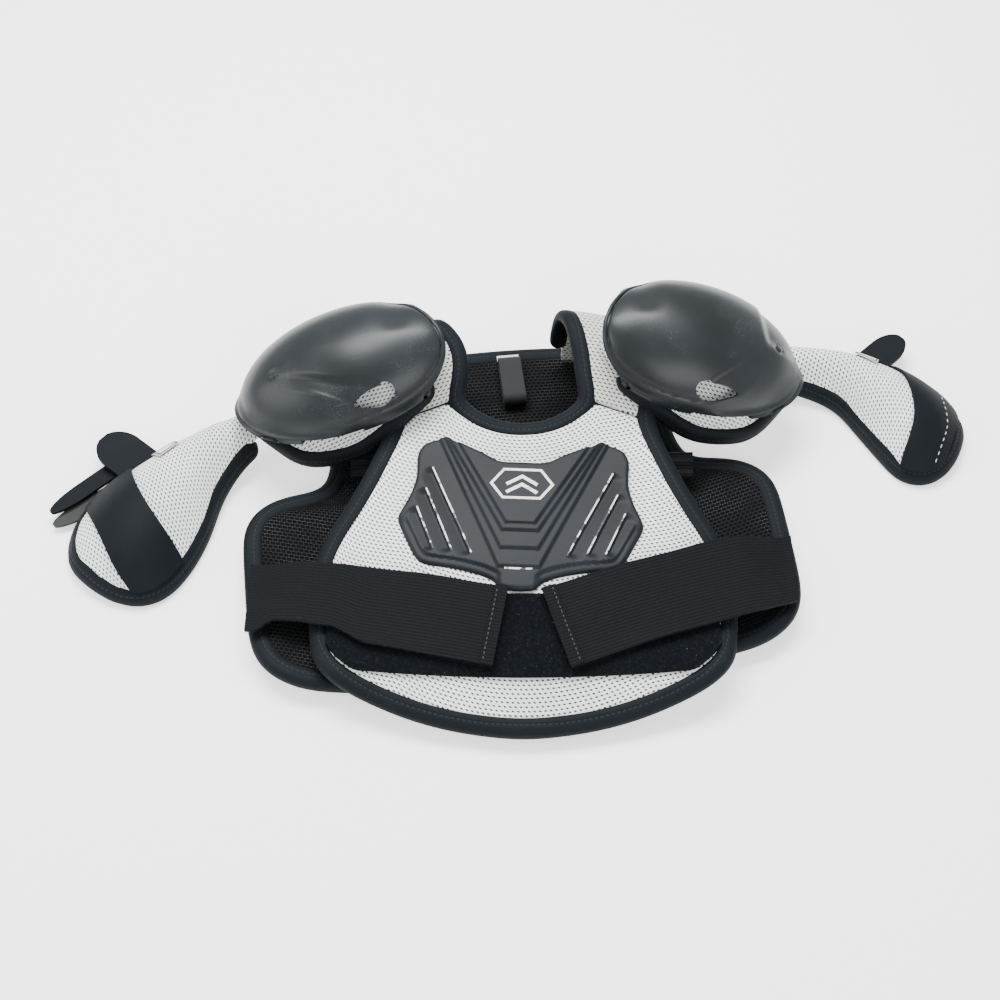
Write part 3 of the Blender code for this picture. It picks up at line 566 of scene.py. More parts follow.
def honeycomb_group():
    """Open spacer mesh: staggered round pits with raised threads between them."""
    tree, start, end = new_group(
        "Spacer honeycomb",
        [("Vector", "NodeSocketVector", None), ("Pitch", "NodeSocketFloat", 0.0032)],
        [("Pits", "NodeSocketFloat"), ("Glints", "NodeSocketFloat")])
    x, y, _ = parts_of(tree, start.outputs["Vector"])
    x = calc(tree, "DIVIDE", x, start.outputs["Pitch"])
    y = calc(tree, "DIVIDE", y, calc(tree, "MULTIPLY", start.outputs["Pitch"], 0.866))
    row = calc(tree, "FLOOR", y)
    stagger = calc(tree, "MULTIPLY", calc(tree, "FLOORED_MODULO", row, 2.0), 0.5)
    fx = calc(tree, "SUBTRACT", calc(tree, "FRACT", calc(tree, "ADD", x, stagger)), 0.5)
    fy = calc(tree, "SUBTRACT", calc(tree, "FRACT", y), 0.5)
    pits = spread(tree, distance(tree, fx, fy), 0.46, 0.26)
    glint = calc(tree, "ADD", calc(tree, "ABSOLUTE", fx), calc(tree, "ABSOLUTE", fy))
    glints = spread(tree, glint, 0.78, 0.96)
    tree.links.new(pits, end.inputs["Pits"])
    tree.links.new(glints, end.inputs["Glints"])
    return tree


def grain_group():
    """Fine surface grain and slower tone changes, for cloth and plastic alike."""
    tree, start, end = new_group(
        "Grain and tone",
        [("Vector", "NodeSocketVector", None), ("Fine", "NodeSocketFloat", 2500.0),
         ("Slow", "NodeSocketFloat", 28.0)],
        [("Grain", "NodeSocketFloat"), ("Tone", "NodeSocketFloat")])
    for title, source, detail in (("Grain", "Fine", 2.0), ("Tone", "Slow", 4.0)):
        node = tree.nodes.new("ShaderNodeTexNoise")
        tree.links.new(start.outputs["Vector"], node.inputs["Vector"])
        tree.links.new(start.outputs[source], node.inputs["Scale"])
        node.inputs["Detail"].default_value = detail
        tree.links.new(node.outputs["Fac"], end.inputs[title])
    return tree


def scuff_group():
    """Thin scratches running two ways and small rubbed patches."""
    tree, start, end = new_group(
        "Scuffs",
        [("Vector", "NodeSocketVector", None), ("Amount", "NodeSocketFloat", 0.5)],
        [("Scratches", "NodeSocketFloat"), ("Rubbed", "NodeSocketFloat")])
    marks = None
    for turn, squeeze in ((0.5, (30.0, 900.0, 60.0)), (2.3, (800.0, 40.0, 90.0))):
        mapping = tree.nodes.new("ShaderNodeMapping")
        mapping.inputs["Rotation"].default_value = (0.2, 0.4, turn)
        mapping.inputs["Scale"].default_value = squeeze
        tree.links.new(start.outputs["Vector"], mapping.inputs["Vector"])
        streaks = spread(tree, noise(tree, mapping.outputs[0], 1.0, 2.0), 0.70, 0.78)
        marks = streaks if marks is None else calc(tree, "MAXIMUM", marks, streaks)
    patches = spread(tree, noise(tree, start.outputs["Vector"], 45.0, 3.0), 0.52, 0.68)
    speckle = spread(tree, noise(tree, start.outputs["Vector"], 1400.0, 2.0), 0.55, 0.75)
    scratches = calc(tree, "MULTIPLY", calc(tree, "MULTIPLY", marks, patches),
                     start.outputs["Amount"])
    rubbed = calc(tree, "MULTIPLY", calc(tree, "MULTIPLY", patches, speckle),
                  start.outputs["Amount"])
    tree.links.new(scratches, end.inputs["Scratches"])
    tree.links.new(rubbed, end.inputs["Rubbed"])
    return tree


PUNCHED_KNIT = punched_knit_group()
HONEYCOMB = honeycomb_group()
GRAIN = grain_group()
SCUFFS = scuff_group()


# ---- materials ----
RIB_PITCH = 0.0021          # metres between the ribs of the elastic
WEFT_PITCH = 0.0009
STITCH_PITCH = 0.0034
STITCH_COLOUR = (0.03, 0.032, 0.036, 1)
LINT_COLOUR = (0.3, 0.31, 0.33, 1)


def mesh_material(name, light, dark, patch_colour):
    """Perforated white mesh, darker in slow random patches; called with darker colours throughout,
    it gives a copy with painted shade.
    """
    material, tree, shader, uv = new_material(name, "UV")
    place = tree.nodes.new("ShaderNodeTexCoord").outputs["Object"]
    knit = use_group(tree, PUNCHED_KNIT, Vector=uv)
    tones = use_group(tree, GRAIN, Vector=place, Fine=1800.0, Slow=16.0)
    clean = blend_colour(tree, spread(tree, tones["Tone"], 0.35, 0.7), light, patch_colour)
    fibres = calc(tree, "MULTIPLY", tones["Grain"], 0.35)
    clean = blend_colour(tree, fibres, clean, (0.62, 0.66, 0.63, 1))
    tree.links.new(blend_colour(tree, knit["Holes"], clean, dark), shader.inputs["Base Color"])
    roughen(tree, shader, tones["Grain"], 0.2, 0.72)
    shader.inputs["Sheen Weight"].default_value = 0.15
    height = calc(tree, "MULTIPLY_ADD", tones["Grain"], 0.25, knit["Relief"])
    bump(tree, shader, height, 0.7, 0.0006)
    return material


def spacer_material(name, thread, pit, glint):
    """Black spacer lining with light catching on its threads."""
    material, tree, shader, uv = new_material(name, "UV")
    comb = use_group(tree, HONEYCOMB, Vector=uv)
    tones = use_group(tree, GRAIN, Vector=uv, Fine=1500.0, Slow=30.0)
    colour = blend_colour(tree, comb["Pits"], thread, pit)
    dots = calc(tree, "MULTIPLY", comb["Glints"], spread(tree, tones["Tone"], 0.4, 0.65))
    tree.links.new(blend_colour(tree, dots, colour, glint), shader.inputs["Base Color"])
    roughen(tree, shader, comb["Pits"], 0.3, 0.55)
    shader.inputs["Specular IOR Level"].default_value = 0.08
    height = calc(tree, "SUBTRACT", calc(tree, "MULTIPLY", tones["Grain"], 0.3), comb["Pits"])
    bump(tree, shader, height, 0.9, 0.0012)
    return material


def tape_material(name, colour, worn, stitch_at=None):
    """Matt laminated tape: fine jersey grain, faint folds and, where asked, a stitch line."""
    material, tree, shader, uv = new_material(name, "UV")
    tones = use_group(tree, GRAIN, Vector=uv, Fine=2600.0, Slow=45.0)
    patch = calc(tree, "MULTIPLY", spread(tree, tones["Tone"], 0.45, 0.75), 0.6)
    base = blend_colour(tree, patch, colour, worn)
    height = calc(tree, "MULTIPLY", tones["Grain"], 0.25)
    if stitch_at is not None:
        x, y, _ = parts_of(tree, uv)
        off = calc(tree, "ABSOLUTE", calc(tree, "SUBTRACT", calc(tree, "ABSOLUTE", x), stitch_at))
        line = spread(tree, off, 0.0007, 0.0003)
        dash = spread(tree, calc(tree, "FRACT", calc(tree, "DIVIDE", y, STITCH_PITCH)), 0.62, 0.55)
        thread = calc(tree, "MULTIPLY", line, dash)
        base = blend_colour(tree, calc(tree, "MULTIPLY", thread, 0.4), base, STITCH_COLOUR)
        trough = spread(tree, off, 0.0016, 0.0004)
        height = calc(tree, "ADD", height, calc(tree, "SUBTRACT", thread, trough))
    tree.links.new(base, shader.inputs["Base Color"])
    roughen(tree, shader, tones["Tone"], 0.25, 0.52)
    shader.inputs["Specular IOR Level"].default_value = 0.1
    bump(tree, shader, height, 0.5, 0.0004)
    return material


def plastic_material(name, colour, scuffed, roughness, amount, grain_depth, shine):
    """Moulded plastic with scratches, rubbed patches and dust in its gloss."""
    material, tree, shader, place = new_material(name, "Object")
    tones = use_group(tree, GRAIN, Vector=place, Fine=3000.0, Slow=22.0)
    marks = use_group(tree, SCUFFS, Vector=place, Amount=amount)
    wear = calc(tree, "MAXIMUM", marks["Scratches"], marks["Rubbed"])
    toned = blend_colour(tree, spread(tree, tones["Tone"], 0.3, 0.7),
                         colour, tuple(min(1.0, c * 1.7) for c in colour[:3]) + (1,))
    tree.links.new(blend_colour(tree, wear, toned, scuffed), shader.inputs["Base Color"])
    rough = calc(tree, "MULTIPLY_ADD", tones["Tone"], 0.16, roughness - 0.08)
    roughen(tree, shader, wear, 0.35, rough)
    height = calc(tree, "SUBTRACT", calc(tree, "MULTIPLY", tones["Grain"], grain_depth),
                  calc(tree, "MULTIPLY", marks["Scratches"], 0.6))
    shader.inputs["Specular IOR Level"].default_value = shine
    bump(tree, shader, height, 0.35, 0.0003)
    return material


def ribbed_material(name, colour, ridge):
    """Woven elastic: ribs along its length and fine weft across them."""
    material, tree, shader, uv = new_material(name, "UV")
    x, y, _ = parts_of(tree, uv)
    wave = calc(tree, "SINE", calc(tree, "MULTIPLY", y, 2 * math.pi / RIB_PITCH))
    rib = calc(tree, "MULTIPLY_ADD", wave, 0.5, 0.5)
    weft = calc(tree, "SINE", calc(tree, "MULTIPLY", x, 2 * math.pi / WEFT_PITCH))
    tones = use_group(tree, GRAIN, Vector=uv, Fine=2400.0, Slow=24.0)
    share = calc(tree, "MULTIPLY", rib, spread(tree, tones["Tone"], 0.25, 0.75, 0.35, 1.0))
    lit = blend_colour(tree, share, colour, ridge)
    lint = calc(tree, "MULTIPLY", spread(tree, tones["Grain"], 0.68, 0.78), 0.25)
    lit = blend_colour(tree, lint, lit, (0.25, 0.25, 0.26, 1))
    tree.links.new(lit, shader.inputs["Base Color"])
    roughen(tree, shader, tones["Tone"], 0.2, 0.62)
    shader.inputs["Specular IOR Level"].default_value = 0.08
    height = calc(tree, "MULTIPLY_ADD", weft, 0.15, rib)
    height = calc(tree, "MULTIPLY_ADD", tones["Grain"], 0.3, height)
    bump(tree, shader, height, 0.6, 0.0004)
    return material


def fleece_material(name, colour, tip):
    """Brushed loop fabric: a dense tangle of short loops that holds some lint."""
    material, tree, shader, place = new_material(name, "Object")
    tones = use_group(tree, GRAIN, Vector=place, Fine=1300.0, Slow=55.0)
    pile = noise(tree, place, 520.0, 6.0, 0.7)
    base = blend_colour(tree, spread(tree, pile, 0.45, 0.75), colour, tip)
    lint = calc(tree, "MULTIPLY", spread(tree, noise(tree, place, 900.0, 2.0), 0.70, 0.80), 0.3)
    tree.links.new(blend_colour(tree, lint, base, LINT_COLOUR), shader.inputs["Base Color"])
    roughen(tree, shader, tones["Tone"], 0.1, 0.85)
    shader.inputs["Specular IOR Level"].default_value = 0.08
    height = calc(tree, "MULTIPLY_ADD", tones["Grain"], 0.5, pile)
    bump(tree, shader, height, 0.9, 0.0012)
    return material


def woven_material(name, colour, gap, pitch, sheen=0.2):
    """Plain weave of tape, labels and thread."""
    material, tree, shader, uv = new_material(name, "UV")
    x, y, _ = parts_of(tree, uv)
    first = calc(tree, "SINE", calc(tree, "MULTIPLY", x, 2 * math.pi / pitch))
    second = calc(tree, "SINE", calc(tree, "MULTIPLY", y, 2 * math.pi / pitch))
    weave = calc(tree, "MULTIPLY_ADD", calc(tree, "MULTIPLY", first, second), 0.5, 0.5)
    tones = use_group(tree, GRAIN, Vector=uv, Fine=2200.0, Slow=60.0)
    share = calc(tree, "MULTIPLY", weave, spread(tree, tones["Tone"], 0.2, 0.8, 0.5, 1.0))
    tree.links.new(blend_colour(tree, share, gap, colour), shader.inputs["Base Color"])
    roughen(tree, shader, tones["Grain"], 0.2, 0.7)
    shader.inputs["Sheen Weight"].default_value = sheen
    bump(tree, shader, weave, 0.5, 0.0003)
    return material


def paint_material(name, colour, worn, share):
    """Thin paint rubbed off in places."""
    material, tree, shader, place = new_material(name, "Object")
    tones = use_group(tree, GRAIN, Vector=place, Fine=900.0, Slow=140.0)
    off = spread(tree, tones["Tone"], 0.62 - share, 0.66 - share * 0.7)
    tree.links.new(blend_colour(tree, off, colour, worn), shader.inputs["Base Color"])
    roughen(tree, shader, tones["Grain"], 0.25, 0.45)
    bump(tree, shader, tones["Grain"], 0.3, 0.0002)
    return material


WHITE_MESH = mesh_material("white_mesh", (0.84, 0.88, 0.85, 1), (0.02, 0.021, 0.02, 1),
                           (0.70, 0.74, 0.71, 1))
# shaded_mesh is the white mesh with painted shade: every colour darkened for the shoulder bridges,
# which lie in shadow under the cups
SHADED_MESH = mesh_material("shaded_mesh", (0.60, 0.61, 0.57, 1), (0.02, 0.02, 0.02, 1),
                            (0.50, 0.50, 0.46, 1))
SPACER = spacer_material("spacer_lining", (0.006, 0.0066, 0.0072, 1), (0.002, 0.002, 0.002, 1),
                         (0.12, 0.125, 0.13, 1))
TAPE = tape_material("edge_tape", (0.004, 0.0058, 0.0078, 1), (0.007, 0.009, 0.0115, 1), 0.0095)
SATIN = tape_material("satin_band", (0.0035, 0.005, 0.007, 1), (0.006, 0.0075, 0.0095, 1))
GREY_TONGUE = tape_material("grey_tongue", (0.035, 0.038, 0.034, 1), (0.05, 0.052, 0.047, 1))
CUP_PLASTIC = plastic_material("cup_plastic", (0.007, 0.0088, 0.0102, 1), (0.10, 0.11, 0.115, 1),
                               0.34, 0.55, 0.12, 0.32)
PLATE_PLASTIC = plastic_material("plate_plastic", (0.007, 0.0085, 0.0105, 1),
                                 (0.09, 0.10, 0.105, 1), 0.46, 0.2, 0.3, 0.13)
RIBBED = ribbed_material("ribbed_elastic", (0.0035, 0.0042, 0.005, 1), (0.007, 0.0078, 0.009, 1))
FLEECE = fleece_material("loop_fleece", (0.002, 0.003, 0.004, 1), (0.008, 0.010, 0.013, 1))
WEBBING = woven_material("webbing", (0.007, 0.0075, 0.0085, 1), (0.003, 0.003, 0.004, 1),
                         0.0012, 0.0)
LABEL = woven_material("blank_label", (0.80, 0.80, 0.77, 1), (0.62, 0.62, 0.60, 1), 0.0007)
THREAD = woven_material("pale_thread", (0.55, 0.56, 0.55, 1), (0.40, 0.41, 0.40, 1), 0.0006)
DARK_THREAD = woven_material("dark_thread", (0.05, 0.05, 0.055, 1), (0.02, 0.02, 0.02, 1), 0.0006)
MARK_PAINT = paint_material("mark_paint", (0.78, 0.78, 0.75, 1), (0.45, 0.45, 0.43, 1), 0.02)
STRIPE_PAINT = paint_material("stripe_paint", (0.72, 0.75, 0.75, 1), (0.03, 0.03, 0.035, 1), 0.12)


# ---- back pad and collar ----
def back_point(x, y, z):
    """A point given in the back pad's own axes."""
    c, s = math.cos(BACK_YAW), math.sin(BACK_YAW)
    return Vector((x * c - y * s, x * s + y * c, z))


BACK_SIDE = [(-1.0, 0.975), (-0.8, 0.99), (-0.55, 1.0), (-0.3, 0.985), (-0.15, 0.9),
             (-0.05, 0.76), (0.1, 0.68), (0.35, 0.64), (0.7, 0.63), (1.0, 0.63)]
BACK_SIDE_Y = [(-1.0, -80.0), (-0.8, -58.0), (-0.55, 7.0), (-0.3, 30.0), (-0.15, 41.0),
               (-0.05, 46.0), (0.1, 55.0), (0.35, 78.0), (0.7, 115.0), (1.0, 148.0)]
BACK_CORNER = (0.18, 0.26)      # share of the sheet that each lower corner is rounded over
QUILT_PITCH = 34.0
QUILT_HALF = 2.38            # half the width held flat along a quilting seam
BACK_TAPE_DEPTH = 4.0
LABEL_HALF = (7.4, 2.6)
LABEL_CENTRE_Y = 155.0
LABEL_RISE = 3.4


def round_corner(u, v, across, along_edge, top):
    """Move (u, v) so that the sheet's lower (or upper) corners become round."""
    a = max(abs(u) - 1 + across, 0.0) / across
    b = max((v if top else -v) - 1 + along_edge, 0.0) / along_edge
    if a == 0.0 or b == 0.0:
        return u, v
    ra, rb = a * math.sqrt(1 - b * b / 2), b * math.sqrt(1 - a * a / 2)
    u = math.copysign(1 - across + ra * across, u)
    v = (1 - along_edge + rb * along_edge) * (1 if top else -1)
    return u, v


def back_plan(u, v):
    """Place on the back pad in its own axes."""
    u, v = round_corner(u, v, *BACK_CORNER, False)
    x = u * BACK_HALF_WIDTH * along(BACK_SIDE, v)
    dip = 1 - u * u
    y = along(BACK_SIDE_Y, v)
    y += (-12.0 * dip) * smooth_step((-0.2 - v) / 0.8) + 9.0 * dip * smooth_step(v)
    return x, y


def back_surface(u, v):
    """Top of the back pad: flat in the middle, its sides a little curled."""
    x, y = back_plan(u, v)
    return back_point(x, y, BACK_TOP + 5.0 * smooth_step((abs(x) - 90.0) / 75.0))


def on_quilt_line(u, v):
    """True on the diagonal seams sewn through the back pad."""
    x, y = back_plan(u, v)
    for run in (x + y, x - y):
        if abs((run + QUILT_PITCH / 2) % QUILT_PITCH - QUILT_PITCH / 2) < QUILT_HALF:
            return True
    return False


LOOP_CENTRE_X = 12.0
LOOP_TOP_Y = 151.0
LOOP_HALF_WIDTH = 7.5
LOOP_LENGTH = 40.0
LOOP_RADIUS = 5.2
LOOP_BASE = 1.6


def loop_surface(u, v):
    """Once round the folded webbing loop as v runs from -1 to 1; u is across it."""
    straight = LOOP_LENGTH - 2 * LOOP_RADIUS
    bend = math.pi * LOOP_RADIUS
    run = (v + 1) / 2 * 2 * (straight + bend)
    near = LOOP_TOP_Y - LOOP_RADIUS
    far = near - straight
    if run < bend:
        angle = -math.pi / 2 + run / LOOP_RADIUS
        y, z = near + LOOP_RADIUS * math.cos(angle), LOOP_RADIUS * math.sin(angle)
    elif run < bend + straight:
        y, z = near - (run - bend), LOOP_RADIUS
    elif run < 2 * bend + straight:
        angle = math.pi / 2 + (run - bend - straight) / LOOP_RADIUS
        y, z = far + LOOP_RADIUS * math.cos(angle), LOOP_RADIUS * math.sin(angle)
    else:
        y, z = far + (run - 2 * bend - straight), -LOOP_RADIUS
    height = BACK_TOP + LOOP_BASE + LOOP_RADIUS + z
    return back_point(LOOP_CENTRE_X + u * LOOP_HALF_WIDTH, y, height)


def make_back():
    pad = pad_piece("back_pad", back_surface, 72, 64, BACK_PAD, cap=2.2, reach=0.06,
                    sewn=on_quilt_line, sewn_share=0.55)
    finish_piece(pad, (SPACER, WHITE_MESH), "back",
                 ("back_lining", "back_foam", "back_outer_mesh"))
    rail = []
    for edge, first, count in (("left", 0.99, 60), ("bottom", -0.99, 70), ("right", -0.99, 60),
                               ("top", 0.99, 40)):
        rail += edge_rail(back_surface, edge, first, -first, count, TAPE_OUT, BACK_TAPE_DEPTH)
    tape = tape_piece("back_edge_tape", rail, TAPE_HALF_WIDTH, TAPE_HALF_HEIGHT, True, passes=12)
    finish_piece(tape, (TAPE,), "back", ("back_binding",))

    def label(u, v):
        x, y = LOOP_CENTRE_X + u * LABEL_HALF[0], LABEL_CENTRE_Y + v * LABEL_HALF[1]
        return back_point(x, y, BACK_TOP + LABEL_RISE)

    piece = sheet_piece("collar_label", label, 10, 6, 0.6)
    finish_piece(piece, (LABEL,), "back", ("size_label",))
    loop = draped_grid("webbing_loop", loop_surface, 6, 72)
    mend(loop, weld=True)
    apply_modifier(loop, "SOLIDIFY", thickness=1.4 * MM, offset=-1.0)
    smooth_shading(loop, 50.0)
    finish_piece(loop, (WEBBING,), "hang_loop", ("hang_loop",))


# ---- chest pad and shoulder bridges ----
FRONT_CROWN = [(-130, 15), (-118, 20), (-104, 26), (-80, 32.5), (-55, 38), (-20, 43), (20, 46),
               (50, 48), (64, 50.5), (84, 57)]
FRONT_FALL = [(-130, 2), (-100, 0), (-80, 6.5), (-50, 9), (-30, 10), (0, 8.5), (40, 3), (84, 0)]
FRONT_SIDE = [(-1.0, 118), (-0.75, 120.5), (-0.5, 119), (-0.25, 112), (0.0, 103), (0.3, 93),
              (0.6, 84), (0.85, 77), (1.0, 74)]
FRONT_SIDE_Y = [(-1.0, -88), (-0.75, -61), (-0.5, -32), (-0.25, -13), (0.0, 3), (0.3, 22),
                (0.6, 43), (0.85, 61), (1.0, 71)]
FRONT_TAPE_DEPTH = 4.2      # centre of an edge tape below the pad's top
YOKE_TAPE_DEPTH = 3.0
NECK_TAPE_DEPTH = 3.8
NECK_TAPE_OUT = 2.8
SEAM_INNER_X = 47.0
SEAM_OUTER_X = 74.0
YOKE_INNER = [(0.0, (0.0, 57.0)), (0.2, (0.18, 63.0)), (0.4, (0.40, 69.0)), (0.55, (0.60, 73.5)),
              (0.68, (0.78, 74.0)), (0.8, (0.93, 66.0)), (0.9, (1.0, 44.0)), (1.0, (1.0, 15.5))]
YOKE_OUTER = [(0.0, (0.0, 52.5)), (0.2, (0.17, 57.0)), (0.4, (0.38, 60.0)), (0.55, (0.58, 61.5)),
              (0.68, (0.77, 60.5)), (0.8, (0.92, 53.0)), (0.9, (1.0, 37.0)), (1.0, (1.0, 15.5))]
YOKE_INNER_X = [(0.0, 47.0), (0.2, 43.5), (0.5, 42.0), (0.75, 46.0), (1.0, 48.0)]
YOKE_OUTER_X = [(0.0, 74.0), (0.2, 79.0), (0.5, 88.0), (0.75, 95.0), (1.0, 100.0)]


def front_height(x, y):
    """Height of the chest cover over the floor."""
    reach = min(abs(x) / 120.0, 1.1)
    return along(FRONT_CROWN, y) - along(FRONT_FALL, y) * reach * reach


def on_front(x, y, lift=0.0):
    """A point of the chest surface, x measured from the chest centre line."""
    return Vector((x + FRONT_X, y, front_height(x, y) + lift))


def neck_line(x):
    """Upper edge of the chest pad: shoulder seams with the neck curve between."""
    away = abs(x)
    if away >= SEAM_INNER_X:
        return mix(80.0, 71.0, (away - SEAM_INNER_X) / (SEAM_OUTER_X - SEAM_INNER_X))
    return 59.5 + 20.5 * (away / SEAM_INNER_X) ** 2.2


def hem_line(x):
    """Lower edge of the chest pad."""
    reach = min(abs(x) / 118.0, 1.0)
    return -131.0 + 33.0 * reach ** 2 + 10.0 * reach ** 18


def front_plan(u, v):
    """Plan position on the chest pad for u across and v from hem to neck."""
    half = along(FRONT_SIDE, v)
    side_y = along(FRONT_SIDE_Y, v)
    k = (v + 1) / 2
    y = side_y + (hem_line(u * 118.0) + 88.0) * (1 - k) + (neck_line(u * 74.0) - 71.0) * k
    y += (mix(-88.0, 71.0, k) - side_y) * (1 - u * u) * 0.5
    return u * half, y


def front_surface(u, v):
    return on_front(*front_plan(u, v))


def under_cover(u, v):
    """True where the chest plate or the strap landing lies on the chest pad."""
    x, y = front_plan(u, v)
    return y < -50.0 or (abs(x) < 78.0 and abs(y) < 56.0)


def yoke_edge(side, t, inner):
    """One edge of a shoulder bridge, from the chest seam to the back seam."""
    stations = YOKE_INNER if inner else YOKE_OUTER
    share = along([(k, value[0]) for k, value in stations], t)
    height = along([(k, value[1]) for k, value in stations], t)
    if inner:
        start_y, back_x, back_y = 80.5, 48.0, 152.0
    else:
        start_y, back_x, back_y = 71.5, 100.0, 147.0
    end = back_point(side * back_x, back_y, 0)
    front_x = side * along(YOKE_INNER_X if inner else YOKE_OUTER_X, t) + FRONT_X
    x = mix(front_x, end.x, smooth_step((t - 0.35) / 0.65))
    return Vector((x, mix(start_y, end.y, share), height))


def yoke_surface(side):
    def place(u, v):
        t = (v + 1) / 2
        point = mix(yoke_edge(side, t, True), yoke_edge(side, t, False), (u + 1) / 2)
        point.z += 2.5 * (1 - u * u) * smooth_step(t * 3) * smooth_step((1 - t) * 3)
        return point
    return place


def make_front():
    pad = pad_piece("chest_pad", front_surface, 68, 60, FRONT_PAD, cap=2.6, reach=0.08,
                    covered=under_cover)
    finish_piece(pad, (WHITE_MESH, SPACER), "front",
                 ("front_mesh_cover", "front_foam", "front_lining"))
    left, right = yoke_surface(-1), yoke_surface(1)
    for label, side in SIDES:
        yoke = pad_piece(f"shoulder_bridge_{label}", yoke_surface(side), 22, 60, YOKE_PAD,
                         cap=1.8, reach=0.2)
        # the shoulder bridges take the mesh with painted shade
        finish_piece(yoke, (SHADED_MESH, SPACER), "front", (f"yoke_{label}",))
    rail = []
    for place, edge, first, last, count, out, depth in (
            (left, "right", 0.92, -0.97, 50, TAPE_OUT + 0.4, YOKE_TAPE_DEPTH),
            (front_surface, "left", 0.96, -0.99, 60, TAPE_OUT, FRONT_TAPE_DEPTH),
            (front_surface, "bottom", -0.985, 0.985, 80, TAPE_OUT, FRONT_TAPE_DEPTH),
            (front_surface, "right", -0.99, 0.96, 60, TAPE_OUT, FRONT_TAPE_DEPTH),
            (right, "right", -0.97, 0.92, 50, TAPE_OUT + 0.4, YOKE_TAPE_DEPTH)):
        rail += edge_rail(place, edge, first, last, count, out, depth)
    tape = tape_piece("chest_edge_tape", rail, TAPE_HALF_WIDTH, TAPE_HALF_HEIGHT, False)
    finish_piece(tape, (TAPE,), "front", ("front_binding",))
    rail = edge_rail(left, "left", 0.92, -0.97, 50, NECK_TAPE_OUT, YOKE_TAPE_DEPTH)
    rail += edge_rail(front_surface, "top", -0.58, 0.58, 50, NECK_TAPE_OUT, NECK_TAPE_DEPTH)
    rail += edge_rail(right, "left", -0.97, 0.92, 50, NECK_TAPE_OUT, YOKE_TAPE_DEPTH)
    tape = tape_piece("neck_edge_tape", rail, 6.2, 4.6, False)
    finish_piece(tape, (TAPE,), "front", ("neck_binding",))
    for label, side in SIDES:
        elastic = sheet_piece(f"underarm_band_{label}", underarm_surface(side), 30, 20, 2.0)
        finish_piece(elastic, (RIBBED,), "front", (f"underarm_elastic_{label}",))


def underarm_surface(side):
    """Short elastic tucked between the arm opening and the shoulder pad."""
    def place(u, v):
        k = (v + 1) / 2
        fold = 1.1 * math.sin(k * math.pi * 4)
        x = side * (97.0 + 13.0 * u) + FRONT_X
        return Vector((x, mix(43.0, 56.0, k), mix(25.0, 34.0, k) + fold))
    return place


# ---- chest plate ----
PLATE_HALF_OUTLINE = [(0, -56), (10.5, -55), (15, -49), (24, -45.2), (38, -41.5), (58, -38.5),
                      (64, -33.5), (75.5, -9.5), (76, -5), (69.5, 9), (66, 22.5), (67, 40),
                      (63, 48), (50, 52.5), (45, 48), (34, 42.5), (24.8, 38), (15, 31.4), (0, 31.4)]
PLATE_SHEET = (79.0, 59.0)  # half sizes of the sheet that the plate is cut from
PLATE_CENTRE = (-1.0, 0.0)
PLATE_TURN = math.radians(-2.5)
PLATE_THICKNESS = 3.0
PLATE_LIFT = 3.8
PANELS = (((42.0, 47.0), (9.0, -13.7)), ((45.5, 46.0), (11.0, -18.4)),
          ((47.5, 45.0), (11.5, -30.0)), ((50.0, 43.0), (12.5, -41.8)))
PANEL_RISE = 1.35
PANEL_SOFT = 1.3
SLOTS = (((30.0, -32.4), (57.4, 29.2)), ((42.0, -30.7), (60.5, 13.9)),
         ((53.5, -29.5), (65.4, 0.4)))
LOW_LINE = [(-8.5, -42.6), (8.5, -42.6)]
MARK_HEXAGON = [(-19.0, 14.0), (-11.5, 24.5), (11.5, 24.5), (19.0, 14.0), (11.5, 3.5),
                (-11.5, 3.5)]
SLOT_DEPTH = 2.2
SLOT_RAMP = 8.5
RIM_BAND = 4.7
SLAB = 0.05                 # flat slab that a shell is cut from, in (u, v) units


def plate_axes(x, y):
    """Chest-plate axes to chest axes."""
    c, s = math.cos(PLATE_TURN), math.sin(PLATE_TURN)
    return PLATE_CENTRE[0] + x * c - y * s, PLATE_CENTRE[1] + x * s + y * c


def worn_corners(points, passes=2):
    """A closed outline with its corners cut off, pass by pass."""
    for _ in range(passes):
        fresh = []
        for (x0, y0), (x1, y1) in zip(points, points[1:] + points[:1]):
            fresh.append((mix(x0, x1, 0.2), mix(y0, y1, 0.2)))
            fresh.append((mix(x0, x1, 0.8), mix(y0, y1, 0.8)))
        points = fresh
    return points


PLATE_OUTLINE = worn_corners(
    [(-x, y) for x, y in PLATE_HALF_OUTLINE[::-1][:-1]] + PLATE_HALF_OUTLINE[:-1])


def edge_distance(x, y, outline):
    """Distance from (x, y) to the nearest side of a closed outline."""
    best = 1e9
    for (x0, y0), (x1, y1) in zip(outline, outline[1:] + outline[:1]):
        dx, dy = x1 - x0, y1 - y0
        k = ((x - x0) * dx + (y - y0) * dy) / (dx * dx + dy * dy)
        k = min(max(k, 0.0), 1.0)
        best = min(best, math.hypot(x - x0 - k * dx, y - y0 - k * dy))
    return best


def panel_share(ax, y, panel):
    """0 outside a tapered panel, 1 inside it, with a soft step between."""
    (top_x, top_y), (low_x, low_y) = panel
    width = mix(low_x, top_x, (y - low_y) / (top_y - low_y))
    lean = (top_y - low_y) / math.hypot(top_x - low_x, top_y - low_y)
    inside = min((width - ax) * lean, y - low_y)
    return smooth_step(inside / PANEL_SOFT + 0.5)


def slot_cut(ax, y, slot):
    """Depth of one slanted step on the wing: a steep edge and a long ramp."""
    (x0, y0), (x1, y1) = slot
    length = math.hypot(x1 - x0, y1 - y0)
    dx, dy = (x1 - x0) / length, (y1 - y0) / length
    run = (ax - x0) * dx + (y - y0) * dy
    off = (ax - x0) * dy - (y - y0) * dx
    ends = smooth_step((run + 2.0) / 6.0) * smooth_step((length + 2.0 - run) / 6.0)
    ramp = smooth_step((off + 0.6) / 1.2) * max(1 - max(off, 0.0) / SLOT_RAMP, 0.0)
    return ramp * ends


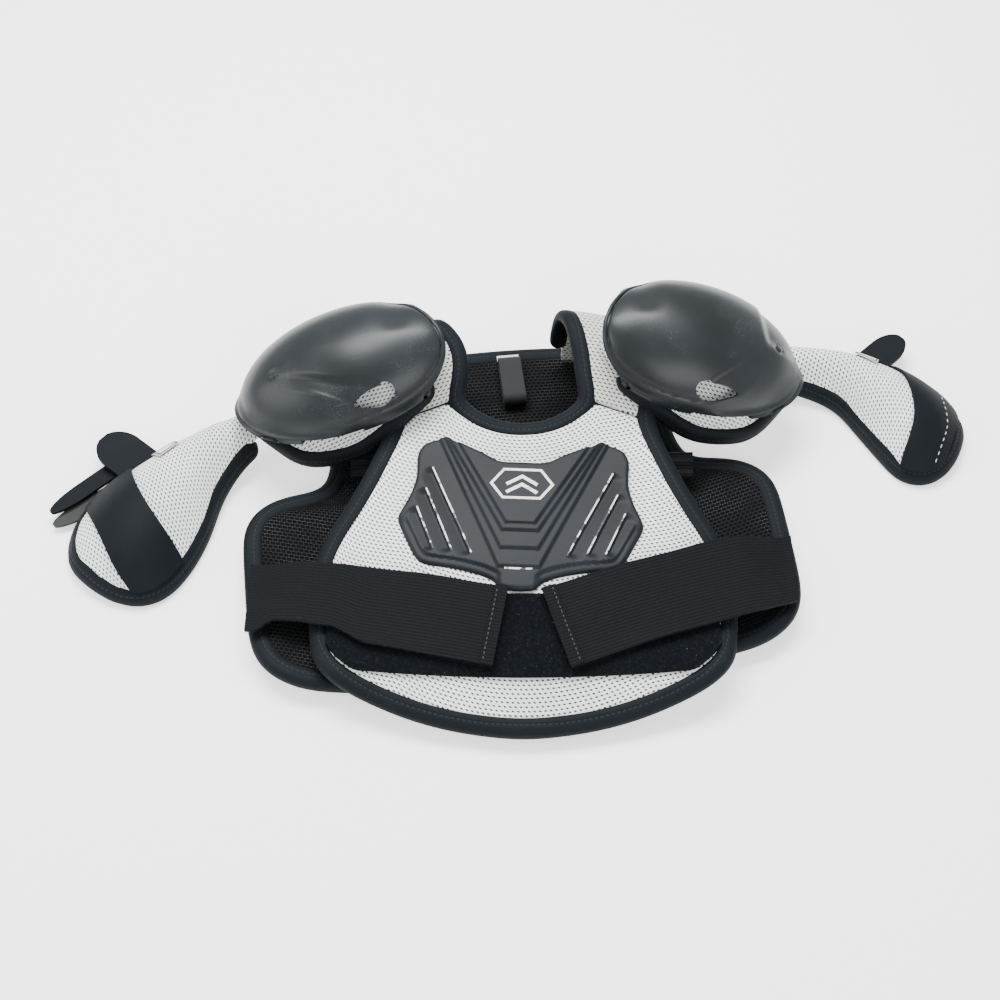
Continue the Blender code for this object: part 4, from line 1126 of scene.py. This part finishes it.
def plate_height(x, y):
    """Height of the plate's outside over the chest cover."""
    ax = abs(x)
    height = PLATE_LIFT
    for panel in PANELS:
        height += PANEL_RISE * panel_share(ax, y, panel)
    for slot in SLOTS:
        height -= SLOT_DEPTH * slot_cut(ax, y, slot) * smooth_step((ax - 20.0) / 6.0)
    away = edge_distance(x, y, PLATE_OUTLINE)
    rim = (1 - smooth_step((away - RIM_BAND) / 1.1)) * smooth_step((-y - 2.0) / 10.0)
    height -= 1.5 * rim * smooth_step((ax - 9.0) / 5.0)
    return height - 1.7 * (1 - math.sqrt(1 - max(1 - away / 2.2, 0.0) ** 2))


def on_plate(x, y, lift=0.0):
    return on_front(*plate_axes(x, y), plate_height(x, y) + lift)


def upright_cutter(outline, low, high):
    """A closed prism with a flat outline of (x, y) points."""
    cutter = named_primitive(bpy.ops.mesh.primitive_circle_add, "cutter",
                             vertices=len(outline), fill_type="NGON", radius=1.0)
    for vert, (x, y) in zip(cutter.data.vertices, outline):
        vert.co = (x, y, low)
    bpy.ops.object.mode_set(mode="EDIT")
    bpy.ops.mesh.select_all(action="SELECT")
    bpy.ops.mesh.extrude_region_move(TRANSFORM_OT_translate={"value": (0, 0, high - low)})
    bpy.ops.object.mode_set(mode="OBJECT")
    mend(cutter)
    return cutter


def shell_piece(name, place, columns, rows, thickness, outline, operation):
    """A hard shell: a flat slab is cut to an outline in (u, v), then laid over place(u, v)."""
    piece = named_primitive(bpy.ops.mesh.primitive_grid_add, name,
                            x_subdivisions=columns, y_subdivisions=rows, size=2.0)
    apply_modifier(piece, "SOLIDIFY", thickness=SLAB, offset=-1.0)
    cutter = upright_cutter(outline, -1.0, 1.0)
    apply_modifier(piece, "BOOLEAN", operation=operation, solver="EXACT", object=cutter)
    bpy.data.objects.remove(cutter)
    turned = is_turned(place)
    for vert in piece.data.vertices:
        u, v = min(max(vert.co.x, -1), 1), min(max(vert.co.y, -1), 1)
        depth = thickness if vert.co.z < -SLAB / 2 else 0.0
        normal = surface_normal(place, u, v) * (-1 if turned else 1)
        vert.co = (place(u, v) - normal * depth) * MM
    if turned:
        piece.data.flip_normals()
    smooth_shading(piece, 40.0)
    return piece


def ribbon_piece(name, points, half_width, on, lift, thickness, closed=False):
    """A flat band along (x, y) points, lying lift above the surface on(x, y)."""
    if closed:
        points = points + points[:1]
    path = []
    for (x0, y0), (x1, y1) in zip(points, points[1:]):
        steps = max(1, int(math.hypot(x1 - x0, y1 - y0) / 1.2))
        path += [(mix(x0, x1, i / steps), mix(y0, y1, i / steps)) for i in range(steps)]
    path.append(points[-1])
    rows = len(path) - 1
    sides = []
    for i in range(rows + 1):
        before = path[i - 1] if i > 0 else (path[rows - 1] if closed else path[0])
        after = path[i + 1] if i < rows else (path[1] if closed else path[rows])
        here = Vector(path[i])
        first, second = here - Vector(before), Vector(after) - here
        first = first.normalized() if first.length else second.normalized()
        second = second.normalized() if second.length else first
        run = (first + second).normalized()
        mitre = half_width / max(run.dot(second), 0.5)
        sides.append(Vector((-run.y, run.x)) * mitre)

    def place(u, v):
        i = int(round((v + 1) / 2 * rows))
        x, y = path[i][0] - sides[i].x * u, path[i][1] - sides[i].y * u
        return on(x, y, lift)

    piece = grid_over(name, place, 2, rows)
    if closed:
        mend(piece, weld=True, outward=False)
    if sum(face.normal.z for face in piece.data.polygons) < 0:
        piece.data.flip_normals()
    apply_modifier(piece, "SOLIDIFY", thickness=thickness * MM, offset=-1.0)
    smooth_shading(piece, 50.0)
    return piece


def make_chest_plate():
    half_x, half_y = PLATE_SHEET
    outline = [(x / half_x, y / half_y) for x, y in PLATE_OUTLINE]
    plate = shell_piece("chest_shell", lambda u, v: on_plate(u * half_x, v * half_y), 190, 142,
                        PLATE_THICKNESS, outline, "INTERSECT")
    finish_piece(plate, (PLATE_PLASTIC,), "front", ("chest_plate",))
    lines = []
    for mirror in (-1, 1):
        for i, ((x0, y0), (x1, y1)) in enumerate(SLOTS):
            ends = [(mirror * (x0 - 0.9), y0), (mirror * (x1 - 0.9), y1)]
            lines.append(ribbon_piece(f"line_{mirror}_{i}", ends, 0.45, on_plate, 0.25, 0.3))
    lines.append(ribbon_piece("line_low", LOW_LINE, 0.5, on_plate, 0.25, 0.3))
    stripes = joined("worn_lines", lines)
    finish_piece(stripes, (STRIPE_PAINT,), "front")
    marks = [ribbon_piece("mark_rim", MARK_HEXAGON, 0.8, on_plate, 0.5, 0.6, closed=True)]
    for i, rise in enumerate((0.0, 6.0)):
        chevron = [(-9.5, 7.5 + rise), (0.0, 13.5 + rise), (9.5, 7.5 + rise)]
        marks.append(ribbon_piece(f"mark_{i}", chevron, 1.1, on_plate, 0.5, 0.6))
    badge = joined("chest_mark", marks)
    finish_piece(badge, (MARK_PAINT,), "front", ("chest_badge",))


# ---- waist straps ----
LANDING_HALF = 118.0
STRAP_ENDS = {-1: (-14.5, -81.0), 1: (20.0, -82.0)}
STRAP_ROOTS = {-1: -50.0, 1: -28.0}
STRAP_FOLD = 7.0
STRAP_BAY = 9.0             # the left strap's lower edge draws up beside the chest pad


def landing_surface(u, v):
    x = u * LANDING_HALF
    low = max(-109.0 + 6.0 * u * u, hem_line(x) + 2.0)
    return on_front(x, mix(low, -58.0, (v + 1) / 2), LANDING_LIFT + LANDING_THICKNESS)


def strap_centre_y(side, x):
    end_x, end_y = STRAP_ENDS[side]
    return mix(end_y, STRAP_ROOTS[side], (x - end_x) / (side * STRAP_ROOT_X - end_x))


def strap_height(x, y):
    """Top of the strap: on the landing over the chest, sloping to the back's edge."""
    chest = front_height(min(max(x, -STRAP_HINGE_X), STRAP_HINGE_X), y)
    chest += STRAP_LIFT + STRAP_THICKNESS
    away = (abs(x) - STRAP_HINGE_X) / (STRAP_ROOT_X - STRAP_HINGE_X)
    return mix(chest, BACK_TOP + 12.2, smooth_step(away))


def strap_surface(side, near, far, lift=0.0):
    """Strap top between |x| near and |x| far (signed by side)."""
    end_x, end_y = STRAP_ENDS[side]
    slope = (STRAP_ROOTS[side] - end_y) / (side * STRAP_ROOT_X - end_x)

    def place(u, v):
        x = mix(near, far, (u + 1) / 2)
        y = strap_centre_y(side, x) + v * STRAP_HALF_WIDTH * 0.93
        away = smooth_step((abs(x) - STRAP_HINGE_X) / (STRAP_ROOT_X - STRAP_HINGE_X))
        x -= v * STRAP_HALF_WIDTH * slope * 0.9 * (1 - away)
        if side < 0:
            bay = smooth_step((abs(x) - 92.0) / 25.0)
            bay *= 1 - smooth_step((abs(x) - 150.0) / 14.0)
            y += (1 - v) / 2 * STRAP_BAY * bay
        ripple = 0.5 * (1 + math.sin(x / 9.0 + v * 1.5)) * v * v
        return Vector((x + FRONT_X, y, strap_height(x, y) + lift + ripple))
    return place


def make_waist_straps():
    fleece = sheet_piece("strap_landing_fleece", landing_surface, 60, 18, LANDING_THICKNESS)
    finish_piece(fleece, (FLEECE,), "front", ("strap_landing",))
    for label, side in SIDES:
        end_x = STRAP_ENDS[side][0]
        hinge = side * STRAP_HINGE_X
        body = f"waist_strap_{label}"
        strap = sheet_piece(f"waist_band_{label}", strap_surface(side, end_x, hinge), 60, 22,
                            STRAP_THICKNESS)
        finish_piece(strap, (RIBBED,), body, (body,))
        fold = sheet_piece(f"waist_band_fold_{label}",
                           strap_surface(side, end_x - side * 0.8, end_x + side * STRAP_FOLD, 1.1),
                           8, 22, 1.3)
        finish_piece(fold, (RIBBED,), body)
        seam = strap_surface(side, end_x + side * 5.2, end_x + side * 5.4, 1.35)
        rail = [(seam(0, mix(-0.94, 0.94, i / 20)), Vector((0, 0, 1))) for i in range(21)]
        stitches = stitch_row(f"waist_band_stitches_{label}", rail, 2.0, 1.1, 0.35)
        finish_piece(stitches, (DARK_THREAD,), body)
        hook = sheet_piece(f"hook_patch_{label}",
                           strap_surface(side, end_x + side * 3, end_x + side * 38,
                                         -STRAP_THICKNESS - 0.4), 16, 16, 1.2)
        finish_piece(hook, (FLEECE,), body, (f"waist_hook_{label}",))
        root = sheet_piece(f"waist_root_{label}", strap_surface(side, hinge, side * STRAP_ROOT_X),
                           20, 22, STRAP_THICKNESS)
        root.data.materials.clear()
        root.data.materials.append(RIBBED)
        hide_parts(f"waist_elastic_{label}")
        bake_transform(root)


# ---- shoulder cups ----
# stations round the cup in degrees from the arm side, counted through the head side
NECK_TRIM = [(-180, 0.90), (-160, 0.97), (-135, 1.0), (-90, 1.0), (60, 1.0), (90, 0.99),
             (120, 0.90), (150, 0.84), (172, 0.87), (180, 0.90)]
DOME_POWER = (0.425, 0.56)  # how boxy the dome is at its head side and its front
LINER_LENGTH_LESS = 10.8    # the liner is shorter and narrower than its cup by these
LINER_WIDTH_LESS = 6.0
SCOOP_UPPER = {-1: [(-32, -35.5), (-18, -28.5), (2, -24), (29, -13), (49, -6)],
               1: [(-4, -42), (10, -34), (30, -21), (44, -10)]}
SCOOP_LOWER = {-1: [(-32, -37), (-4, -38), (1, -37), (17, -29), (39, -18), (49, -12)],
               1: [(-4, -44), (20, -41.5), (26, -38), (34, -31), (40, -22), (44, -14)]}
SCOOP_REACH = {-1: (-33.0, 50.0), 1: (-5.0, 45.0)}
VENTS = {-1: (-17.0, -36.0, 13.5, 4.6, 10.0), 1: (7.0, -41.5, 14.0, 3.6, -4.0)}
DIMPLE = {-1: (46.0, -5.0), 1: (53.0, -6.0)}


def shoulder_frame(side, out, head, z):
    """Cup axes (out from the neck, towards the head, up) to the world."""
    angle = CUP_SWING[side]
    x = out * math.cos(angle) - head * math.sin(angle)
    y = out * math.sin(angle) + head * math.cos(angle)
    world_x = side * (SWING_PIVOT[0] + x) + FRONT_X
    return Vector((world_x, SWING_PIVOT[1] + CUP_SHIFT_Y[side] + y, z))


def disc(u, v):
    """Square to disc."""
    return u * math.sqrt(1 - v * v / 2), v * math.sqrt(1 - u * u / 2)


def rim_height(out, head, drop):
    """Rim of a cup or pad: it falls towards the arm and the front."""
    return RIM_MIDDLE - RIM_TILT * out / 70.0 + 0.10 * head - drop


def pad_drop(out, head):
    """How far the pad's rim hangs below the cup's: most at the front of the arm."""
    sideways = smooth_step((out + 45.0) / 45.0) * (1 - smooth_step((out - 30.0) / 28.0))
    return 1.5 + 17.0 * smooth_step((-head - 5.0) / 35.0) * sideways


def scoop(side, out, head):
    """Hollow behind the vent: a sharp upper edge, a slope and a ridge below it."""
    first, last = SCOOP_REACH[side]
    if not first < out < last:
        return 0.0
    upper, lower = along(SCOOP_UPPER[side], out), along(SCOOP_LOWER[side], out)
    k = (upper - head) / max(upper - lower, 1.0)
    fade = smooth_step((last - out) / 45.0) * smooth_step((out - first) / 6.0)
    hollow = smooth_step(k / 0.16) * max(1 - k, 0.0) ** 0.8
    ridge = math.exp(-((k - 1.05) / 0.12) ** 2)
    return fade * (0.7 * ridge - 3.6 * hollow)


def cup_surface(side):
    """Outside of a shoulder cup over the disc."""
    length, width, height = CUP_LENGTH[side], CUP_WIDTH[side], CUP_HEIGHT[side]

    def place(u, v):
        dx, dy = disc(u, v)
        rho = min(math.hypot(dx, dy), 1.0)
        turn = math.degrees(math.atan2(dy, dx)) if rho > 1e-6 else 0.0
        reach = math.sin(rho * math.pi / 2) * along(NECK_TRIM, turn)
        cx, cy = (dx / rho, dy / rho) if rho > 1e-6 else (0.0, 0.0)
        out, head = cx * reach * length / 2, cy * reach * width / 2
        front = smooth_step(-cy * 1.2)
        power = mix(*DOME_POWER, front)
        z = rim_height(out, head, 0.0) + height * max(1 - reach * reach, 0.0) ** power
        z += scoop(side, out, head)
        dimple_out, dimple_head = DIMPLE[side]
        z -= 1.6 * (1 - smooth_step(math.hypot(out - dimple_out, head - dimple_head) / 5.0))
        z -= 2.2 * math.exp(-((out + 34.0) / 9.0) ** 2) * smooth_step((head + 5.0) / 20.0)
        if side > 0:
            z -= 3.0 * smooth_step((out - 42.0) / 5.0) * smooth_step((head + 12.0) / 12.0)
        neck = smooth_step((8.0 - out) / 22.0 + 0.2)
        z -= 1.5 * math.exp(-((rho - 0.80) / 0.022) ** 2) * neck
        z += 0.5 * smooth_step((rho - 0.83) / 0.05) * neck
        flare = smooth_step((rho - 0.86) / 0.14) * (1 - neck)
        arm = smooth_step((cx + 0.2) / 0.6) * smooth_step((0.35 - cy) / 0.5)
        out += cx * 2.6 * flare * arm
        head += cy * 2.0 * flare * arm
        z += 1.8 * flare * flare * arm
        return shoulder_frame(side, CUP_CENTRE_OUT + out, head, z)
    return place


def liner_surface(side):
    """Outside of the padded liner under a cup."""
    length, width = CUP_LENGTH[side] - LINER_LENGTH_LESS, CUP_WIDTH[side] - LINER_WIDTH_LESS
    height = CUP_HEIGHT[side] - 6.0

    def place(u, v):
        dx, dy = disc(u, v)
        rho = min(math.hypot(dx, dy), 1.0)
        angle = rho * math.pi / 2
        spread_out = math.sin(angle) / rho if rho > 1e-6 else math.pi / 2
        out, head = dx * spread_out * length / 2, dy * spread_out * width / 2
        z = rim_height(out, head, pad_drop(out, head)) + height * math.cos(angle) ** 0.95 - 1.0
        return shoulder_frame(side, CUP_CENTRE_OUT + out, head, z)
    return place


def cup_uv(side, out, head):
    """The (u, v) of a point of a cup given in its own axes."""
    a, b = 2 * out / CUP_LENGTH[side], 2 * head / CUP_WIDTH[side]
    reach = max(math.hypot(a, b), 1e-6)
    rho = math.asin(min(reach, 1.0)) / (math.pi / 2)
    x, y = a * rho / reach, b * rho / reach
    root = 2 * math.sqrt(2)
    across, down = 2 + x * x - y * y, 2 - x * x + y * y
    u = (math.sqrt(max(across + root * x, 0)) - math.sqrt(max(across - root * x, 0))) / 2
    v = (math.sqrt(max(down + root * y, 0)) - math.sqrt(max(down - root * y, 0))) / 2
    return u, v


def leaf(out, head, half_length, half_width, lean):
    """Outline of a vent: rounded at one end, more pointed at the other."""
    c, s = math.cos(math.radians(lean)), math.sin(math.radians(lean))
    points = []
    for i in range(36):
        angle = 2 * math.pi * i / 36
        x, y = half_length * math.cos(angle), half_width * math.sin(angle)
        y *= 1.0 - 0.35 * x / half_length
        points.append((out + x * c + y * s, head - x * s + y * c))
    return points


def make_shoulders():
    for label, side in SIDES:
        body = f"shoulder_{label}"
        outline = [cup_uv(side, out, head) for out, head in leaf(*VENTS[side])]
        cup = shell_piece(f"shoulder_shell_{label}", cup_surface(side), 116, 92, CUP_WALL,
                          outline, "DIFFERENCE")
        finish_piece(cup, (CUP_PLASTIC,), body, (f"shoulder_cup_{label}",))
        liner = pad_piece(f"shoulder_liner_{label}", liner_surface(side), 40, 34, 6.0, cap=1.2,
                          reach=0.1)
        finish_piece(liner, (WHITE_MESH, SPACER), body, (f"shoulder_pad_{label}",))
        rail = []
        length, width = CUP_LENGTH[side] - LINER_LENGTH_LESS, CUP_WIDTH[side] - LINER_WIDTH_LESS
        for i in range(61):
            angle = math.radians(mix(-150.0, -12.0, i / 60))
            out, head = math.cos(angle) * length / 2, math.sin(angle) * width / 2
            z = rim_height(out, head, pad_drop(out, head) + 5.0)
            outward = Vector((side * math.cos(angle), math.sin(angle), 0))
            rail.append((shoulder_frame(side, CUP_CENTRE_OUT + out, head, z), outward))
        tape = tape_piece(f"shoulder_edge_tape_{label}", rail, 7.0, 4.2, False)
        finish_piece(tape, (TAPE,), body, (f"shoulder_binding_{label}",))
        dimple_out, dimple_head = DIMPLE[side]
        rivet = named_primitive(bpy.ops.mesh.primitive_uv_sphere_add, f"cup_button_{label}",
                                segments=24, ring_count=12, radius=1.0)
        reach = math.hypot(2 * dimple_out / CUP_LENGTH[side], 2 * dimple_head / CUP_WIDTH[side])
        power = mix(*DOME_POWER, smooth_step(-2 * dimple_head / CUP_WIDTH[side] / reach * 1.2))
        z = rim_height(dimple_out, dimple_head, 0.0) - 1.6
        z += CUP_HEIGHT[side] * (1 - reach * reach) ** power
        centre = shoulder_frame(side, CUP_CENTRE_OUT + dimple_out, dimple_head, z)
        size = Matrix.Diagonal((2.6 * MM, 2.6 * MM, 0.8 * MM, 1.0))
        lean = Matrix.Rotation(side * math.radians(38.0), 4, "Y")
        rivet.data.transform(Matrix.Translation(centre * MM) @ lean @ size)
        smooth_shading(rivet, 60.0)
        finish_piece(rivet, (CUP_PLASTIC,), body, (f"cup_rivet_{label}",))


# ---- arm pads ----
ARM_NEAR = {-1: [(0.0, 4), (0.15, 4), (0.33, 12), (0.5, 27), (0.68, 39), (0.85, 43), (0.95, 34),
                 (1.0, 20)],
            1: [(0.0, 2), (0.22, -3), (0.35, -5), (0.46, -2), (0.57, 10), (0.72, 27), (0.84, 39),
                (0.95, 34), (1.0, 22)]}
ARM_FAR = [(0.0, 20), (0.25, 34), (0.5, 42), (0.7, 41), (0.85, 34), (0.95, 23), (1.0, 13)]
ARM_CREST = [(0.0, 28), (0.25, 31), (0.5, 33), (0.75, 33), (0.9, 26), (1.0, 14)]
ARM_EDGE = [(0.0, 21), (0.2, 16), (0.4, 11.5), (0.6, 10), (1.0, 10)]
BAND_FIRST = {-1: [(-1, 0.69), (-0.27, 0.665), (0.25, 0.62), (0.93, 0.53), (1, 0.52)],
              1: [(-1, 0.815), (-0.25, 0.80), (0.35, 0.72), (0.8, 0.64), (1, 0.60)]}
BAND_LAST = {-1: [(-1, 0.94), (-0.5, 0.93), (0, 0.90), (0.6, 0.845), (1, 0.80)],
             1: [(-1, 0.985), (1, 0.985)]}
ARM_TAPE_DEPTH = 3.6
ARM_LABEL_AT = {-1: (0.57, 0.385), 1: (0.45, 0.515)}     # (u, t) of each label's centre
ARM_LABEL_HALF = (0.16, 0.055)
# strap ends: start and end (out, across), half width, height and rise
TABS = {-1: ((72.0, 54.0), (74.0, 75.0), 15.0, 12.0, 3.0),
        1: ((83.0, 54.0), (92.0, 73.0), 11.0, 12.0, 2.0)}
TAILS = {-1: ((97.0, 54.0), (134.0, 54.0), 6.0, 8.0, 1.0),
         1: ((78.0, 12.0), (112.0, 12.0), 9.0, 3.0, 0.0)}
LOWER_TONGUE = ((96.0, 41.0), (138.0, 47.0), 7.0, 5.0, 0.0)
TONGUE_ROOT = 14.0          # how far a strap end runs back under the pad's edge


def arm_frame(side, out, across, z):
    """Arm axes (out along the arm, across towards the head, up) to the world."""
    yaw = ARM_YAW[side]
    out += ARM_SLIDE[side]
    x = out * math.cos(yaw) + across * math.sin(yaw)
    y = -out * math.sin(yaw) + across * math.cos(yaw)
    root_x, root_y = ARM_ROOT[side]
    return Vector((side * (root_x + x) + FRONT_X, root_y + y, z))


def arm_surface(side):
    def place(u, v):
        u, v = round_corner(u, v, 0.35, 0.12, True)
        t = (v + 1) / 2
        across = mix(-along(ARM_NEAR[side], t), along(ARM_FAR, t), (u + 1) / 2)
        crest, edge = along(ARM_CREST, t), along(ARM_EDGE, t)
        z = edge + max(crest - edge, 0) * (1 - abs(u) ** 2.2)
        return arm_frame(side, t * ARM_LENGTH, across, z)
    return place


def arm_over(side, lift, u, t):
    """A point lifted off the arm pad, u across and t from 0 at the cup to 1."""
    base = arm_surface(side)
    normal = surface_normal(base, u, 2 * t - 1)
    return base(u, 2 * t - 1) + normal * (lift if normal.z > 0 else -lift)


def arm_band_surface(side):
    def place(u, v):
        t = mix(along(BAND_FIRST[side], u), along(BAND_LAST[side], u), (v + 1) / 2)
        return arm_over(side, 2.4, u * 0.98, t)
    return place


def tongue_surface(side, start, end, half, low, rise):
    """Flat strap end from start to end, both (out, across) in arm axes."""
    run = Vector((end[0] - start[0], end[1] - start[1], 0)).normalized()
    beside = Vector((-run.y, run.x, 0))
    start = (start[0] - run.x * TONGUE_ROOT, start[1] - run.y * TONGUE_ROOT)

    def place(u, v):
        k = (v + 1) / 2
        narrow = math.sqrt(max(1 - (max(k - 0.5, 0.0) / 0.5) ** 2 * 0.95, 0.04))
        out = mix(start[0], end[0], k) + beside.x * u * half * narrow
        across = mix(start[1], end[1], k) + beside.y * u * half * narrow
        return arm_frame(side, out, across, low + rise * k)
    return place


def make_arms():
    for label, side in SIDES:
        body = f"arm_{label}"
        surface = arm_surface(side)
        pad = pad_piece(f"arm_pad_{label}", surface, 48, 56, ARM_PAD, cap=1.6, reach=0.12)
        finish_piece(pad, (WHITE_MESH, SPACER), body,
                     (f"arm_mesh_{label}", f"arm_foam_{label}", f"arm_lining_{label}"))
        rail = edge_rail(surface, "left", -0.9, 0.99, 60, 2.8, ARM_TAPE_DEPTH)
        rail += edge_rail(surface, "top", -0.97, 0.97, 40, 2.8, ARM_TAPE_DEPTH)
        rail += edge_rail(surface, "right", 0.99, -0.9, 60, 2.4, ARM_TAPE_DEPTH)
        tape = tape_piece(f"arm_edge_tape_{label}", rail, 7.8, 4.9, False, passes=14)
        finish_piece(tape, (TAPE,), body, (f"arm_binding_{label}",))
        band = sheet_piece(f"arm_wrap_{label}", arm_band_surface(side), 60, 22, 1.8)
        finish_piece(band, (SATIN,), body, (f"arm_band_{label}",))

        def label_top(u, v, side=side):
            (centre_u, centre_t), (half_u, half_t) = ARM_LABEL_AT[side], ARM_LABEL_HALF
            return arm_over(side, 2.0, centre_u + half_u * v, centre_t + half_t * u)

        patch = sheet_piece(f"arm_patch_{label}", label_top, 10, 8, 0.6)
        finish_piece(patch, (LABEL,), body, (f"arm_label_{label}",))

        def label_plan(x, y, lift, side=side):
            return label_top(x, y) + Vector((0, 0, lift))

        frame_path = [(-0.86, -0.86), (0.86, -0.86), (0.86, 0.86), (-0.86, 0.86)]
        dense = []
        for (x0, y0), (x1, y1) in zip(frame_path, frame_path[1:] + frame_path[:1]):
            dense += [(mix(x0, x1, i / 6), mix(y0, y1, i / 6)) for i in range(6)]
        border = ribbon_piece(f"arm_patch_border_{label}", dense, 0.07, label_plan, 0.3, 0.35,
                              closed=True)
        finish_piece(border, (DARK_THREAD,), body)
        for kind, table in (("tab", TABS), ("tail", TAILS)):
            start, end, half, low, rise = table[side]
            tongue = sheet_piece(f"arm_{kind}_piece_{label}",
                                 tongue_surface(side, start, end, half, low, rise), 20, 26, 2.2)
            finish_piece(tongue, (SATIN,), f"arm_{kind}_{label}",
                         (f"arm_strap_{kind}_{label}",))
    tongue = sheet_piece("arm_tail_lower_piece", tongue_surface(-1, *LOWER_TONGUE), 16, 26, 1.6)
    finish_piece(tongue, (GREY_TONGUE,), "arm_tail_left")
    rail = []
    for i in range(31):
        u = mix(-0.85, 0.7, i / 30)
        rail.append((arm_over(1, 2.8, u, 0.945 - 0.12 * max(u, 0.0) ** 1.5), Vector((0, 0, 1))))
    stitches = stitch_row("arm_wrap_stitches", rail, 3.0, 2.2, 0.4)
    finish_piece(stitches, (THREAD,), "arm_right")


make_back()
make_front()
make_chest_plate()
make_waist_straps()
make_shoulders()
make_arms()
back_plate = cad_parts["back_plate"]
back_plate.data.materials.clear()
back_plate.data.materials.append(PLATE_PLASTIC)


# ---- floor, lights and camera ----
LIGHT_TARGET = Vector((0, 0, 0.03))


def make_floor():
    bpy.ops.mesh.primitive_plane_add(size=8.0, location=(0, 0, -0.0006))
    floor = bpy.context.object
    floor.name = "floor"
    material = bpy.data.materials.new("paper")
    material.use_nodes = True
    shader = material.node_tree.nodes["Principled BSDF"]
    shader.inputs["Base Color"].default_value = (0.96, 0.96, 0.96, 1)
    shader.inputs["Roughness"].default_value = 0.9
    shader.inputs["Specular IOR Level"].default_value = 0.0
    shader.inputs["Emission Color"].default_value = (1, 1, 1, 1)
    shader.inputs["Emission Strength"].default_value = 1.0
    floor.data.materials.append(material)


def make_light(name, location, size, power):
    """A soft rectangular light turned to the middle of the guard."""
    data = bpy.data.lights.new(name, "AREA")
    data.shape = "RECTANGLE"
    data.size, data.size_y = size
    data.energy = power
    light = bpy.data.objects.new(name, data)
    light.location = location
    aim = LIGHT_TARGET - Vector(location)
    light.rotation_euler = aim.to_track_quat("-Z", "Y").to_euler()
    bpy.context.scene.collection.objects.link(light)


def make_camera():
    target, distance, elevation = Vector((-0.011, 0.013, 0.040)), 1.100, math.radians(52.0)
    data = bpy.data.cameras.new("camera")
    data.sensor_width = 36.0
    data.lens = 63.36
    data.clip_start = 0.01
    camera = bpy.data.objects.new("camera", data)
    offset = Vector((0, -math.cos(elevation), math.sin(elevation))) * distance
    camera.location = target + offset
    camera.rotation_euler = (math.pi / 2 - elevation, 0, 0)
    bpy.context.scene.collection.objects.link(camera)
    bpy.context.scene.camera = camera


def make_world():
    world = bpy.data.worlds.new("studio")
    world.use_nodes = True
    background = world.node_tree.nodes["Background"]
    background.inputs["Color"].default_value = (0.95, 0.98, 1.0, 1)
    background.inputs["Strength"].default_value = 0.9
    bpy.context.scene.world = world


make_floor()
make_world()
make_light("overhead", (-0.15, 0.55, 1.3), (1.2, 0.6), 46.0)
make_light("front_fill", (0.5, -1.2, 0.9), (1.2, 0.8), 15.0)
make_light("side_fill", (-1.3, -0.2, 0.7), (0.8, 0.8), 9.0)
make_camera()
